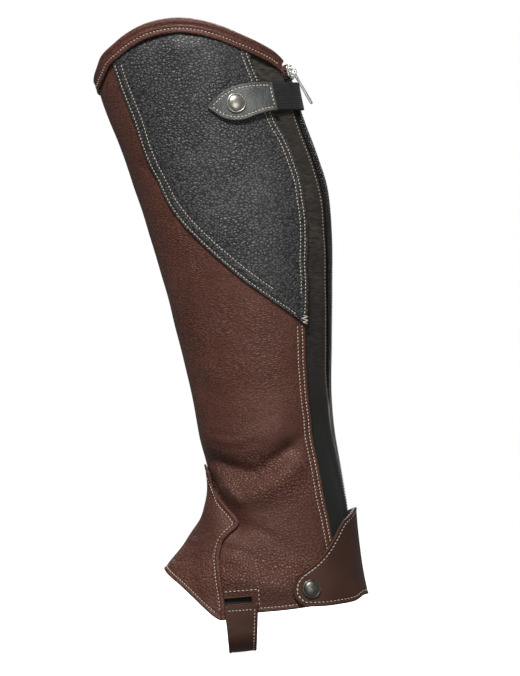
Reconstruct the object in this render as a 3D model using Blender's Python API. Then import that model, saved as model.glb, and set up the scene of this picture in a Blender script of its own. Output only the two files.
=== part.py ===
"""A tall riding half chap for the left leg, as worn: a leather tube round the calf that flares over the instep.

Frame: +Z up, -X to the front of the leg, -Y to the leg's outer side. The origin is in the middle of the calf.
Sizes in this file are millimetres. A place on the leg is (angle, level): the angle in degrees round the leg,
0 at the back, 90 at the outer side, 180 at the front and 270 at the inner side, and the height of its ring.
A piece's distance out is measured from the outer face of the main leather.
"""

import bmesh
import bpy
import numpy as np
from mathutils import Matrix

METRES = 0.001

# Thicknesses of the cut pieces and how they lap
LEATHER = 1.6
PANEL_LEATHER = 1.4
STRETCH_CLOTH = 1.1
TAPE_CLOTH = 0.9
CUFF_LEATHER = 1.4
STRAP_LEATHER = 2.2
HEEL_LEATHER = 2.0
ELASTIC = 1.3
SEAM_GAP = 0.4
LAP_GAP = 0.65
LAP = 10.0
LAP_RAMP = (13.0, 17.0)
LAP_COLUMNS = (7.0, 13.2, 20.5)

# Top cuff: how far it reaches down, and where the panels end inside it
CUFF_WIDTH = 11.4
CUFF_SLOT_TOP = 4.2
PANEL_TOP = 5.3
CUFF_ROLL = 1.0
CUFF_SEAM = 6.5
CUFF_GUSSET_REACH = 14.0
CUFF_TAPE_REACH = 16.0

# Zip, with distances from its middle line
CHAIN_HALF_WIDTH = 2.75
CHAIN_FACES = (-1.6, 0.6)
TAPE_EDGES = (3.05, 14.0)
TAPE_OUTER = -2.2
OPENING_EDGE = 8.4
GUSSET_LIP = (6.5, 11.5)
GUSSET_LIP_COLUMNS = (3.5, 7.0, 12.0)
CHAIN_BOTTOM = -298.0
SLIDER_LEVEL = 62.0
SLIDER_SIZE = (8.4, 11.0, 2.6)
SLIDER_TAPER = 0.78
BRIDGE_LENGTH = 7.6
BRIDGE_RISE = 2.65
BRIDGE_WIRE = 0.6
PIVOT_RISE = 1.15
PULL_SIZE = (4.8, 28.5, 1.3)
PULL_END_BAR = 0.7
PULL_EYE = (2.2, 4.6)
PULL_LIFT = 16.0

# Snap fasteners
SNAP_RADIUS = 7.5
SNAP_DOME = 3.0
SNAP_RIM = 0.8
SNAP_EDGE = 0.3
STUD_RADIUS = 4.6
STUD_BASE = 0.35
STUD_GAP = 0.4

# Rings round the leg, from the foot up. front and back are the x of the leather's outer face, rise is how
# much higher a ring's back is than its front, and egg widens its back half and narrows its front half.
SECTION_COLUMNS = ("level", "front", "back", "rise", "half_width", "egg")
SECTIONS = np.array(
    [
        (-337.5, -71.0, 108.0, -24.0, 46.5, 0.16),
        (-318.0, -59.5, 104.5, -21.0, 45.5, 0.16),
        (-301.0, -49.0, 101.5, -18.5, 44.5, 0.15),
        (-286.5, -37.5, 98.2, -18.0, 43.5, 0.13),
        (-273.0, -29.0, 95.2, -15.0, 42.5, 0.10),
        (-258.7, -21.5, 92.2, -10.5, 41.8, 0.07),
        (-243.0, -16.6, 89.4, -6.0, 41.2, 0.05),
        (-227.2, -17.0, 86.0, -1.5, 41.0, 0.05),
        (-210.7, -19.5, 82.4, 1.5, 41.0, 0.05),
        (-191.2, -22.2, 78.4, 4.5, 42.0, 0.05),
        (-163.5, -27.0, 75.8, 6.0, 44.0, 0.06),
        (-129.7, -33.8, 76.3, 13.5, 47.0, 0.08),
        (-93.0, -42.2, 77.2, 21.0, 50.0, 0.10),
        (-56.2, -51.0, 77.3, 28.5, 52.5, 0.11),
        (-24.7, -60.0, 74.6, 31.5, 53.5, 0.11),
        (0.7, -68.3, 67.5, 31.0, 53.5, 0.10),
        (23.2, -75.8, 59.0, 31.0, 53.0, 0.09),
        (46.0, -83.3, 50.8, 35.0, 52.5, 0.08),
        (66.0, -90.8, 44.8, 39.0, 52.0, 0.08),
        (87.0, -97.5, 39.5, 41.0, 52.0, 0.08),
        (107.0, -101.0, 35.0, 42.0, 52.0, 0.08),
        (130.0, -104.0, 30.0, 42.0, 52.0, 0.08),
    ],
    dtype=[(name, float) for name in SECTION_COLUMNS],
)

# The zip's middle line, from the foot up
ZIP_COLUMNS = ("level", "angle")
ZIP_LINE = np.array(
    [(-345, -22), (-290, -20), (-230, -14), (-190, -5), (-155, 3), (-120, 8.5), (-80, 12), (-40, 13.5),
     (0, 14), (40, 14), (100, 14)],
    dtype=[(name, float) for name in ZIP_COLUMNS],
)

# Ankle folds on the outer side: lines of (angle, level) places, how far each stands out and its half width
FOLDS = [
    {"name": "ankle crease", "rise": -4.6, "width": 6.5,
     "line": [(180, -212), (150, -210), (125, -217), (108, -220), (92, -215), (80, -208), (72, -203)]},
    {"name": "roll above the crease", "rise": 2.2, "width": 11.0,
     "line": [(150, -190), (125, -196), (100, -196), (80, -188)]},
    {"name": "roll below the crease", "rise": 3.4, "width": 9.0,
     "line": [(140, -232), (124, -239), (108, -236), (88, -226), (72, -214)]},
    {"name": "hollow beside the instep", "rise": -3.8, "width": 7.5,
     "line": [(166, -230), (150, -239), (134, -250), (120, -262)]},
    {"name": "roll at the instep seam", "rise": 1.6, "width": 8.0,
     "line": [(112, -286), (104, -292), (96, -298)]},
    {"name": "roll over the hem", "rise": 3.0, "width": 9.0,
     "line": [(106, -302), (92, -306), (82, -304)]},
    {"name": "slack below the calf", "rise": -1.3, "width": 12.0,
     "line": [(150, -150), (120, -158), (90, -156)]},
]
FOLD_MM_PER_DEGREE = 0.85
FOLD_FADE = (-3.0, 34.0)
INNER_FOLD_DROP = 6.0
INNER_FOLD_SHARE = 0.85

# Outlines on the outer side, as (x, z) seen square on from that side, each from its lower end up
CALF_PANEL_FRONT = [(55.5, -108.5), (42, -97.5), (31, -90), (10.5, -75), (-7, -60), (-23, -45), (-36.5, -30),
                    (-46.5, -15), (-53.5, 0), (-60.5, 15), (-66, 30), (-71, 45), (-77, 60), (-82.5, 75),
                    (-87, 90), (-90, 103)]
CALF_PANEL_BACK = [(57.5, -109.5), (58.5, -90), (59, -75), (59, -60), (59.5, -45), (59, -30), (57, -15),
                   (54.5, 0), (49.5, 15), (43.5, 30), (35.5, 45), (29.5, 60), (23.5, 75), (17.5, 90), (11, 112)]
LEG_BACK = [(84, -317.5), (82, -292.5), (79, -274), (75.5, -255), (72, -240), (69.5, -225), (66.5, -210),
            (63.5, -195), (62, -180), (60, -165), (59, -150), (58, -135), (57.6, -120), (57.2, -112)]
INSTEP_BACK = [(-5, -328.3), (-6, -319), (-7, -307.5), (-7.5, -292.5), (-7, -281), (-4.5, -272), (1, -265),
               (5.5, -259.5), (6.5, -256), (4, -252), (-1.5, -246), (-8, -238.5), (-13, -230)]
LEG_INSTEP = [(-15, -324.5), (-17, -307.5), (-17, -289), (-13.5, -276), (-7.5, -266), (-4.5, -257), (-9, -249)]
TOP_EDGE = [(34.5, 96), (25, 102), (9, 109.5), (-7, 116), (-22, 120), (-40, 121.5), (-52, 120),
            (-63, 117), (-77, 109.5), (-86, 102), (-94, 94), (-97.5, 85.5)]
HEM_FRONT = [(-5, -328.3), (-10.5, -327.3), (-18, -321.5), (-29, -311), (-40.5, -301)]
HEM_BACK = [(84, -317.5), (53, -320.8), (38, -322), (22, -323.4), (8, -325.4), (-5, -327.4), (-15, -324.5)]
HEEL_TOP = [(87.2, -251), (84.3, -255), (82, -260), (79, -267), (75, -275), (70, -283), (63, -290), (57, -295),
            (54, -298)]
HEEL_LOBE = [(55.5, -316.5), (52, -313), (50.5, -307.5), (51.5, -302), (54, -298)]
HEEL_HEM = [(94, -314), (83, -316), (68, -317), (55.5, -316.5)]
TAB_TOP = [(29, 73.5), (16, 73), (4.5, 71), (-5, 66.2), (-10.5, 61), (-15.5, 55.5)]
TAB_BOTTOM = [(34.5, 52), (25, 50), (16, 47), (8, 46), (1, 46), (-7, 48.5), (-15.5, 53)]
TAB_SNAP = (4.5, 57.0)
HEEL_SNAP = (61.5, -306.5)

# How far the tab and the heel strap lie off the leather, along x and round the heel
TAB_REST = {"x": [-16.0, 5.0, 22.0, 35.0], "out": [0.9, 2.1, 2.8, 2.9]}
TAB_REST_AT_SNAP = 2.1
HEEL_REST = {"angle": [-50.0, -36.0, -10.0, 20.0, 36.0, 50.0], "out": [0.4, 1.0, 1.1, 1.0, 1.0, 1.6]}
HEEL_REST_AT_SNAP = 1.6
HEEL_STAND_OFF = {"angle": -2.0, "spread": 22.0, "upper": 3.2}

# The same edges where they go on past the front or the back, as (angle, z)
TOP_EDGE_INNER = [(180, 77), (200, 75.5), (230, 76), (260, 78), (290, 81.5), (320, 85.5), (345, 88.5)]
TOP_EDGE_AT_ZIP = (91.5, 90.5)
HEEL_TOP_INNER = [(-58, -270), (-42, -258), (-26, -250), (-8, -247), (8, -247)]
HEEL_HEM_INNER = [(-58, -319), (-25, -313.5), (0, -311.5), (18, -312.5)]
HEM_APEX = (180.0, -292.0)
INSTEP_TOP = [(166, -220), (180, -212.5), (194, -220)]
LEG_INSTEP_TOP = [(164, -238.5), (172, -232), (180, -226.5)]

# Elastic band of the top strap: its edges' z, the angles of its ends, and how its upper edge stands off
BAND_EDGES = (52.3, 72.3)
BAND_ENDS = (-46.0, 51.0)
BAND_REST = 1.0
BAND_END_REST = 0.4
BAND_STAND_OFF = {"angle": 14.0, "spread": 20.0, "upper": 3.2, "lower": 0.4}

# Foot strap and the elastics that it hangs from, as x and z seen from the outer side
WINDOW = {"x": 7.0, "z": -315.4, "length": 21.0, "height": 4.8, "slope": 5.0}
FOOT_ELASTIC = {"front": -2.0, "back": 19.0, "top": -303.0, "bottom": -321.0}
FOOT_ELASTIC_OUTER = -2.3
STRAP_TOP = {"front": -3.2, "back": 21.2, "z": -319.4}
STRAP_BASE = {"front": 0.2, "back": 20.4, "z": -354.8}
STRAP_LAP_LEVELS = (-319.4, -322.0, -324.6, -327.2)
STRAP_BEND_TOP = -335.0
STRAP_SLOPE = 0.1
STRAP_SIDE = 47.2
STRAP_CORNER = 15.0

COLOURS = {
    "brown_leather": ((0.110, 0.042, 0.032), 0.55, 0.0),
    "smooth_brown_leather": ((0.066, 0.027, 0.021), 0.50, 0.0),
    "black_leather": ((0.036, 0.040, 0.044), 0.52, 0.0),
    "black_tab_leather": ((0.045, 0.048, 0.050), 0.40, 0.0),
    "stretch_cloth": ((0.026, 0.020, 0.014), 0.85, 0.0),
    "black_elastic": ((0.008, 0.008, 0.010), 0.80, 0.0),
    "zip_tape": ((0.010, 0.010, 0.011), 0.75, 0.0),
    "zip_chain": ((0.012, 0.012, 0.014), 0.45, 0.0),
    "bright_nickel": ((0.60, 0.58, 0.54), 0.28, 1.0),
    "antique_nickel": ((0.36, 0.34, 0.29), 0.34, 1.0),
}


def smoothstep(low, high, value):
    share = np.clip((value - low) / (high - low), 0.0, 1.0)
    return share * share * (3 - 2 * share)


def spline(knots, values, at):
    """A smooth curve through a table's rows: cubic, with slopes taken from the neighbouring rows."""
    slopes = np.gradient(values, knots)
    row = np.clip(np.searchsorted(knots, at) - 1, 0, len(knots) - 2)
    span = knots[row + 1] - knots[row]
    share = (at - knots[row]) / span
    square, cube = share**2, share**3
    return (
        (2 * cube - 3 * square + 1) * values[row]
        + (cube - 2 * square + share) * span * slopes[row]
        + (3 * square - 2 * cube) * values[row + 1]
        + (cube - square) * span * slopes[row + 1]
    )


def section(name, level):
    return spline(SECTIONS["level"], SECTIONS[name], level)


def skin(angle, level):
    """Points of the leather's outer face before the folds."""
    turn = np.radians(angle)
    along = np.cos(turn)
    front, back = section("front", level), section("back", level)
    x = (front + back) / 2 + (back - front) / 2 * along
    y = -section("half_width", level) * np.sin(turn) * (1 + section("egg", level) * along)
    z = level + section("rise", level) / 2 * along
    return np.stack([x, y, z], axis=-1)


def normals(points_at, angle, level):
    round_leg = points_at(angle + 0.4, level) - points_at(angle - 0.4, level)
    up_leg = points_at(angle, level + 0.4) - points_at(angle, level - 0.4)
    out = np.cross(up_leg, round_leg)
    return out / np.linalg.norm(out, axis=-1, keepdims=True)


def off_line(angle, level, line):
    """How far places lie from a line of places, on the leg unrolled flat."""
    nearest = np.full(np.shape(angle), np.inf)
    for (angle_a, level_a), (angle_b, level_b) in zip(line, line[1:]):
        across, up = (angle_b - angle_a) * FOLD_MM_PER_DEGREE, level_b - level_a
        from_a, above_a = (angle - angle_a) * FOLD_MM_PER_DEGREE, level - level_a
        share = np.clip((from_a * across + above_a * up) / (across**2 + up**2), 0, 1)
        nearest = np.minimum(nearest, np.hypot(from_a - share * across, above_a - share * up))
    return nearest


def fold_height(angle, level):
    """The folds' height, on the outer side and, a little lower and softer, on the inner side."""
    angle, level = np.broadcast_arrays(np.mod(angle, 360.0), level)
    outer_share = smoothstep(*FOLD_FADE, 180 - angle)
    inner_share = INNER_FOLD_SHARE * smoothstep(*FOLD_FADE, angle - 180)
    height = np.zeros(angle.shape)
    for fold in FOLDS:
        outer = off_line(angle, level, fold["line"])
        inner = off_line(360 - angle, level + INNER_FOLD_DROP, fold["line"])
        height += fold["rise"] * outer_share * np.exp(-((outer / fold["width"]) ** 2))
        height += fold["rise"] * inner_share * np.exp(-((inner / fold["width"]) ** 2))
    return height


def leg(angle, level):
    """Points of the leather's outer face, with the folds."""
    return skin(angle, level) + normals(skin, angle, level) * fold_height(angle, level)[..., None]


def place(angle, level, out):
    """Points this far outside the leather's outer face."""
    angle, level, out = np.broadcast_arrays(angle, level, out)
    return leg(angle, level) + normals(leg, angle, level) * out[..., None]


def level_at(angle, z):
    """The level of the ring that has this height at this angle."""
    angle, z = np.broadcast_arrays(np.array(angle, float), np.array(z, float))
    level = z.copy()
    for _ in range(30):
        level = z - section("rise", level) / 2 * np.cos(np.radians(angle))
    return level


def on_leg(points):
    """Places of points (x, z) seen square on from the outer side."""
    x, z = np.array(points, float).T
    level = z.copy()
    for _ in range(60):
        front, back = section("front", level), section("back", level)
        along = np.clip((x - (front + back) / 2) / ((back - front) / 2), -0.9995, 0.9995)
        level = 0.5 * level + 0.5 * (z - section("rise", level) / 2 * along)
    return np.stack([np.degrees(np.arccos(along)), level], axis=-1)


def at_angles(rows):
    """Places of rows (angle, z)."""
    angle, z = np.array(rows, float).T
    return np.stack([angle, level_at(angle, z)], axis=-1)


def run_along(places):
    """How far along a line of places each one lies."""
    solid = skin(places[:, 0], places[:, 1])
    return np.concatenate([[0], np.cumsum(np.linalg.norm(np.diff(solid, axis=0), axis=1))])


def resampled(places, count, crowding=1.0):
    """A smooth curve through places, as count places. crowding above 1 crowds them towards its start."""
    places = np.array(places, float)
    knots = run_along(places)
    fine = np.linspace(0, knots[-1], 12 * count)
    curve = np.stack([spline(knots, places[:, k], fine) for k in (0, 1)], axis=-1)
    run = run_along(curve)
    at = run[-1] * np.linspace(0, 1, count) ** crowding
    return np.stack([np.interp(at, run, curve[:, k]) for k in (0, 1)], axis=-1)


def moved(places, distance):
    """A line of places moved sideways on the leg, to the right of the way that it runs."""
    angle, level = places.T
    per_angle = skin(angle + 0.5, level) - skin(angle - 0.5, level)
    per_level = skin(angle, level + 0.5) - skin(angle, level - 0.5)
    ahead = np.gradient(skin(angle, level), axis=0)
    right = np.cross(ahead, normals(skin, angle, level))
    right /= np.linalg.norm(right, axis=1, keepdims=True)
    steps = [np.linalg.lstsq(np.stack(pair, axis=1), way, rcond=None)[0]
             for *pair, way in zip(per_angle, per_level, right)]
    return places + np.array(steps) * np.reshape(distance, (-1, 1))


def mirrored(places):
    """The same places on the inner side."""
    return np.array(places, float) * (-1, 1) + (360, 0)


def distance_to(line):
    """A function that gives how far places lie from a line of places on the leg."""
    fine = resampled(line, 300)
    solid = skin(fine[:, 0], fine[:, 1])

    def distance(angle, level):
        points = skin(angle, level)
        return np.linalg.norm(points[..., None, :] - solid, axis=-1).min(axis=-1)

    return distance


def coons(bottom, top, left, right):
    """A grid of places that fills four border lines. bottom and top run left to right, the others upwards."""
    across = np.linspace(0, 1, len(bottom))[None, :, None]
    rise = run_along(left) / run_along(left)[-1]
    up = rise[:, None, None]
    ruled_up = (1 - up) * bottom[None] + up * top[None]
    ruled_across = (1 - across) * left[:, None] + across * right[:, None]
    corners = (1 - up) * ((1 - across) * bottom[0] + across * bottom[-1])
    corners = corners + up * ((1 - across) * top[0] + across * top[-1])
    return ruled_up + ruled_across - corners


def rows_between(left, right, columns, near_left=(), near_right=()):
    """A grid of places between two lines. near_left and near_right give the distance of the first columns
    from those lines, where the row is wide enough for them."""
    width = np.linalg.norm(skin(*left.T) - skin(*right.T), axis=1)[:, None]
    even = width * np.linspace(0, 1, columns)
    first, last = len(near_left), columns - 1 - len(near_right)
    at = even.copy()
    for column, distance in enumerate(near_left, 1):
        at[:, column] = np.minimum(distance, even[:, column])
    for column, distance in enumerate(near_right, 1):
        at[:, -1 - column] = np.maximum(width[:, 0] - distance, even[:, -1 - column])
    share = np.linspace(0, 1, last - first + 1)
    at[:, first:last + 1] = at[:, [first]] * (1 - share) + at[:, [last]] * share
    share = (at / width)[:, :, None]
    return left[:, None] * (1 - share) + right[:, None] * share


def joined(grids):
    """One list of places and one of quads from grids that share borders."""
    index, places, quads = {}, [], []
    for grid in grids:
        numbers = np.empty(grid.shape[:2], int)
        for cell in np.ndindex(*grid.shape[:2]):
            key = tuple(np.round(grid[cell], 3))
            if key not in index:
                index[key] = len(places)
                places.append(grid[cell])
            numbers[cell] = index[key]
        quads += grid_quads(numbers)
    return np.array(places), quads


def grid_quads(numbers):
    return [(int(low[0]), int(low[1]), int(high[1]), int(high[0]))
            for row, above in zip(numbers, numbers[1:])
            for low, high in zip(zip(row, row[1:]), zip(above, above[1:]))]


def material(name):
    found = bpy.data.materials.get(name)
    if found:
        return found
    colour, roughness, metallic = COLOURS[name]
    made = bpy.data.materials.new(name)
    made.use_nodes = True
    shader = made.node_tree.nodes["Principled BSDF"]
    shader.inputs["Base Color"].default_value = (*colour, 1.0)
    shader.inputs["Roughness"].default_value = roughness
    shader.inputs["Metallic"].default_value = metallic
    return made


def signed_volume(points, faces):
    total = 0.0
    for face in faces:
        for second, third in zip(face[1:], face[2:]):
            total += np.dot(points[face[0]], np.cross(points[second], points[third]))
    return total


def solid_object(name, points, faces, finish):
    """A closed mesh object from points in millimetres, with its faces turned to point out."""
    points = np.asarray(points, float)
    if signed_volume(points, faces) < 0:
        faces = [tuple(reversed(face)) for face in faces]
    mesh = bpy.data.meshes.new(name)
    mesh.from_pydata((points * METRES).tolist(), [], [tuple(int(i) for i in face) for face in faces])
    return mesh_object(name, mesh, finish)


def mesh_object(name, mesh, finish):
    mesh.shade_smooth()
    mesh.set_sharp_from_angle(angle=np.radians(35))
    mesh.materials.append(material(finish))
    made = bpy.data.objects.new(name, mesh)
    bpy.context.scene.collection.objects.link(made)
    return made


def wall_object(name, inner, outer, quads, finish):
    """A closed wall between two faces that share one list of quads."""
    count = len(outer)
    edges = {(a, b) for quad in quads for a, b in zip(quad, quad[1:] + quad[:1])}
    rim = sorted((a, b) for a, b in edges if (b, a) not in edges)
    faces = list(quads)
    faces += [tuple(count + i for i in reversed(quad)) for quad in quads]
    faces += [(b, a, a + count, b + count) for a, b in rim]
    return solid_object(name, np.concatenate([outer, inner]), faces, finish)


def cloth(name, grids, inner_out, thickness, finish):
    """A cut piece on the leg. inner_out is its inner face's distance out: a number, or a function of places."""
    places, quads = joined(grids)
    angle, level = places.T
    inner = inner_out(angle, level) if callable(inner_out) else np.full(len(places), inner_out)
    return wall_object(name, place(angle, level, inner), place(angle, level, inner + thickness), quads, finish)


def turned_object(name, profile, centre, axis, finish, steps=24):
    """A solid turned round an axis from a profile of (radius, height) that starts and ends on the axis."""
    axis = axis / np.linalg.norm(axis)
    side = np.cross(axis, (0.0, 0.0, 1.0))
    side /= np.linalg.norm(side)
    other = np.cross(axis, side)
    turn = np.radians(np.arange(steps) * 360 / steps)
    points, rings = [], []
    for radius, height in profile:
        count = 1 if radius == 0 else steps
        rings.append([len(points) + (step if count > 1 else 0) for step in range(steps)])
        for t in turn[:count]:
            points.append(centre + axis * height + radius * (side * np.cos(t) + other * np.sin(t)))
    faces = []
    for low, high in zip(rings, rings[1:]):
        for step in range(steps):
            after = (step + 1) % steps
            face = dict.fromkeys((low[step], low[after], high[after], high[step]))
            faces.append(tuple(face))
    return solid_object(name, points, faces, finish)


def block_object(name, size, frame, finish, bevel=0.6, taper=1.0):
    """A bevelled block, its width narrowed to taper of itself at its lower end."""
    work = bmesh.new()
    bmesh.ops.create_cube(work, size=1.0)
    for corner in work.verts:
        corner.co.x *= size[0] * METRES * (taper if corner.co.y < 0 else 1.0)
        corner.co.y *= size[1] * METRES
        corner.co.z *= size[2] * METRES
    bmesh.ops.bevel(work, geom=work.edges[:], offset=bevel * METRES, segments=2, affect="EDGES", profile=0.5)
    mesh = bpy.data.meshes.new(name)
    work.to_mesh(mesh)
    work.free()
    made = mesh_object(name, mesh, finish)
    made.matrix_world = frame
    return made


def as_guide(thing):
    """Keep a cutter or an added shape out of the model itself."""
    thing.hide_render = True
    thing.display_type = "WIRE"
    return thing


def combine(thing, other, operation):
    step = thing.modifiers.new(operation.lower(), "BOOLEAN")
    step.operation = operation
    step.object = as_guide(other)


def frame_matrix(centre, across, along, out):
    matrix = Matrix.Identity(4)
    for column, axis in enumerate((across, along, out)):
        for row in range(3):
            matrix[row][column] = axis[row]
    for row in range(3):
        matrix[row][3] = centre[row] * METRES
    return matrix


def zip_angle(level):
    return spline(ZIP_LINE["level"], ZIP_LINE["angle"], level)


def beside_zip(levels, distance):
    """Places this far from the zip's middle line, towards the outer side."""
    levels = np.array(levels, float)
    middle = zip_angle(levels)
    per_degree = np.linalg.norm(skin(middle + 0.5, levels) - skin(middle - 0.5, levels), axis=1)
    return np.stack([middle + distance / per_degree, levels], axis=-1)


def zip_frame(level):
    """The point on the leather's outer face at the zip, with the ways across, up along the zip, and out."""
    angle = zip_angle(np.array([level]))
    below, above = np.array([level - 3.0]), np.array([level + 3.0])
    along = leg(zip_angle(above), above)[0] - leg(zip_angle(below), below)[0]
    along /= np.linalg.norm(along)
    out = normals(leg, angle, np.array([level]))[0]
    out -= along * np.dot(out, along)
    out /= np.linalg.norm(out)
    return leg(angle, np.array([level]))[0], np.cross(along, out), along, out


def top_line(count):
    """The cuff's top edge, from the zip round the outer side, the front and the inner side to the zip."""
    outer_level, inner_level = level_at(zip_angle(SLIDER_LEVEL), TOP_EDGE_AT_ZIP)
    start = beside_zip([outer_level], OPENING_EDGE)
    end = beside_zip([inner_level], -OPENING_EDGE) + (360, 0)
    return resampled(np.concatenate([start, on_leg(TOP_EDGE), at_angles(TOP_EDGE_INNER), end]), count)


def panel_top(angle):
    """The level at which the panels end inside the cuff."""
    edge = top_line(160)
    edge = np.concatenate([[4 * edge[0] - 3 * edge[4]], edge, [4 * edge[-1] - 3 * edge[-5]]])
    lowered = moved(edge, np.full(len(edge), -PANEL_TOP))
    order = np.argsort(lowered[:, 0])
    return np.interp(angle, lowered[order, 0], lowered[order, 1])


def trimmed(places, count, crowding=1.0):
    """A line of places running upwards, ended where the panels end inside the cuff."""
    fine = resampled(places, 200)
    room = panel_top(fine[:, 0]) - fine[:, 1]
    last = int(np.argmax(room < 0)) if (room < 0).any() else len(fine) - 1
    share = room[last - 1] / (room[last - 1] - room[last]) if room[last] < 0 else 1.0
    end = fine[last - 1] * (1 - share) + fine[last] * share
    return resampled(np.concatenate([fine[:last], [end]]), count, crowding)


def top_border(start, end, count):
    border = np.linspace(start, end, count)
    border[1:-1, 1] = panel_top(border[1:-1, 0])
    return border


def hem_border(start, end, count, hem):
    """A line along the hem between two places, from a full line of the hem."""
    inside = [row for row in hem if start[0] + 2 < row[0] < end[0] - 2]
    return resampled(np.concatenate([[start], inside, [end]]), count)


CALF_FRONT_LINE = resampled(on_leg(CALF_PANEL_FRONT), 60)
CALF_BACK_LINE = resampled(on_leg(CALF_PANEL_BACK), 60)
CALF_FRONT_DISTANCE = distance_to(CALF_FRONT_LINE)
GUSSET_ZIP_DISTANCE = distance_to(beside_zip(np.linspace(-345, 100, 150), OPENING_EDGE))
INSTEP_SIDE = resampled(np.concatenate([on_leg(INSTEP_BACK), INSTEP_TOP[:2]]), 40)
INSTEP_DISTANCE = distance_to(np.concatenate([INSTEP_SIDE, mirrored(INSTEP_SIDE)[-2::-1]]))


def calf_inner(angle, level):
    """The calf panel lies level with the main leather, and over it along its front seam."""
    lap = 1 - smoothstep(*LAP_RAMP, CALF_FRONT_DISTANCE(angle, level))
    return -PANEL_LEATHER + lap * (PANEL_LEATHER + LAP_GAP)


def gusset_inner(angle, level):
    """The stretch gusset lies on the zip's tape, and beneath the leather away from it."""
    on_tape = TAPE_OUTER + SEAM_GAP
    beneath = -LEATHER - 1.2 * LAP_GAP - STRETCH_CLOTH
    away = smoothstep(*GUSSET_LIP, GUSSET_ZIP_DISTANCE(angle, level))
    return on_tape + away * (beneath - on_tape)


def instep_inner(angle, level):
    """The instep panel lies level with the main leather, and over it along its seams."""
    lap = 1 - smoothstep(*LAP_RAMP, INSTEP_DISTANCE(angle, level))
    return -PANEL_LEATHER + lap * (PANEL_LEATHER + LAP_GAP)


def leg_panel():
    """The main leather: round the front from the outer back seam to the zip, open over the instep."""
    columns, low_rows, high_rows, crowding = 21, 16, 25, 1.35
    notch = np.array(LEG_INSTEP_TOP[-1], float)
    hem = on_leg(HEM_BACK)
    seam = resampled(on_leg(LEG_BACK), 120)
    split = int(np.searchsorted(seam[:, 1], notch[1] - 3))
    lap = moved(CALF_FRONT_LINE, np.full(len(CALF_FRONT_LINE), LAP))
    edge_of_calf = np.interp(lap[:, 1], CALF_BACK_LINE[:, 1], CALF_BACK_LINE[:, 0])
    lap[:, 0] = np.maximum(lap[:, 0], edge_of_calf + 1.2)
    lap = lap[lap[:, 1] > seam[-1, 1] + 2]
    outer_back = trimmed(np.concatenate([seam[split:-2:6], lap]), high_rows, crowding)
    front_line = [notch, (180, -180), (180, -100), (180, 0), (180, panel_top(180.0))]
    front = resampled(front_line, high_rows, crowding)
    instep = resampled(np.concatenate([on_leg(LEG_INSTEP), LEG_INSTEP_TOP]), low_rows)
    low_levels = np.linspace(CHAIN_BOTTOM - 6, notch[1] - 3, 30)
    inner_low = resampled(beside_zip(low_levels, -OPENING_EDGE) + (360, 0), low_rows)
    high_levels = np.linspace(low_levels[-1], 90, 60)
    inner_back = trimmed(beside_zip(high_levels, -OPENING_EDGE) + (360, 0), high_rows, crowding)
    middle_outer = resampled([seam[split], (120, notch[1] - 4), notch], columns)
    middle_inner = resampled([notch, (240, notch[1] - 4), inner_low[-1]], columns)
    outer_low = resampled(seam[:split + 1], low_rows)
    inner_instep = mirrored(instep)
    grids = [
        coons(hem_border(hem[0], instep[0], columns, hem), middle_outer, outer_low, instep),
        coons(middle_outer, top_border(outer_back[-1], front[-1], columns), outer_back, front),
        coons(hem_border(inner_instep[0], inner_low[0], columns, mirrored(hem)[::-1]), middle_inner,
              inner_instep, inner_low),
        coons(middle_inner, top_border(front[-1], inner_back[-1], columns), front, inner_back),
    ]
    panel = cloth("leg_panel", grids, -LEATHER, LEATHER, "brown_leather")
    slope = np.radians(WINDOW["slope"])
    across, along = (np.cos(slope), 0, np.sin(slope)), (-np.sin(slope), 0, np.cos(slope))
    cut = frame_matrix((WINDOW["x"], 0, WINDOW["z"]), across, along, (0, -1, 0))
    size = (WINDOW["length"], WINDOW["height"], 140.0)
    combine(panel, block_object("foot_strap_window", size, cut, "brown_leather"), "DIFFERENCE")


def calf_panel():
    """The grained panel on the outer side of the calf, a long point at its lower end."""
    rows, columns = 26, 13
    grid = rows_between(trimmed(CALF_BACK_LINE, rows), trimmed(CALF_FRONT_LINE, rows), columns,
                        near_right=LAP_COLUMNS)
    grid[-1, :, 1] = panel_top(grid[-1, :, 0])
    cloth("calf_panel", [grid], calf_inner, PANEL_LEATHER, "black_leather")


def stretch_gusset():
    """The stretch cloth strip between the outer back seam and the zip."""
    rows, columns = 36, 8
    seam = resampled(np.concatenate([on_leg(LEG_BACK)[:-1], on_leg(CALF_PANEL_BACK)[1:]]), 90)
    beneath = moved(seam, np.full(len(seam), -LAP))
    levels = np.linspace(CHAIN_BOTTOM - 3, 95, 60)
    zip_side = trimmed(beside_zip(levels, OPENING_EDGE), rows)
    leather_side = trimmed(beneath[beneath[:, 1] > CHAIN_BOTTOM - 14], rows)
    grid = rows_between(zip_side, leather_side, columns, near_left=GUSSET_LIP_COLUMNS)
    grid[-1, :, 1] = panel_top(grid[-1, :, 0])
    cloth("stretch_gusset", [grid], gusset_inner, STRETCH_CLOTH, "stretch_cloth")


def zip_tapes():
    for name, side in (("zip_tape_outer", 1), ("zip_tape_inner", -1)):
        levels = np.linspace(CHAIN_BOTTOM, 90, 60)
        turn = 0 if side > 0 else 360
        near, far = (trimmed(beside_zip(levels, side * edge) + (turn, 0), 36) for edge in TAPE_EDGES)
        grid = rows_between(near, far, 4) if side > 0 else rows_between(far, near, 4)
        cloth(name, [grid], TAPE_OUTER - TAPE_CLOTH, TAPE_CLOTH, "zip_tape")


def zip_chain():
    levels = np.linspace(CHAIN_BOTTOM + 1, SLIDER_LEVEL + 3, 60)
    edges = [resampled(beside_zip(levels, side * CHAIN_HALF_WIDTH), 40) for side in (-1, 1)]
    low, high = CHAIN_FACES
    cloth("zip_chain", [rows_between(*edges, 3)], low, high - low, "zip_chain")


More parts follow.
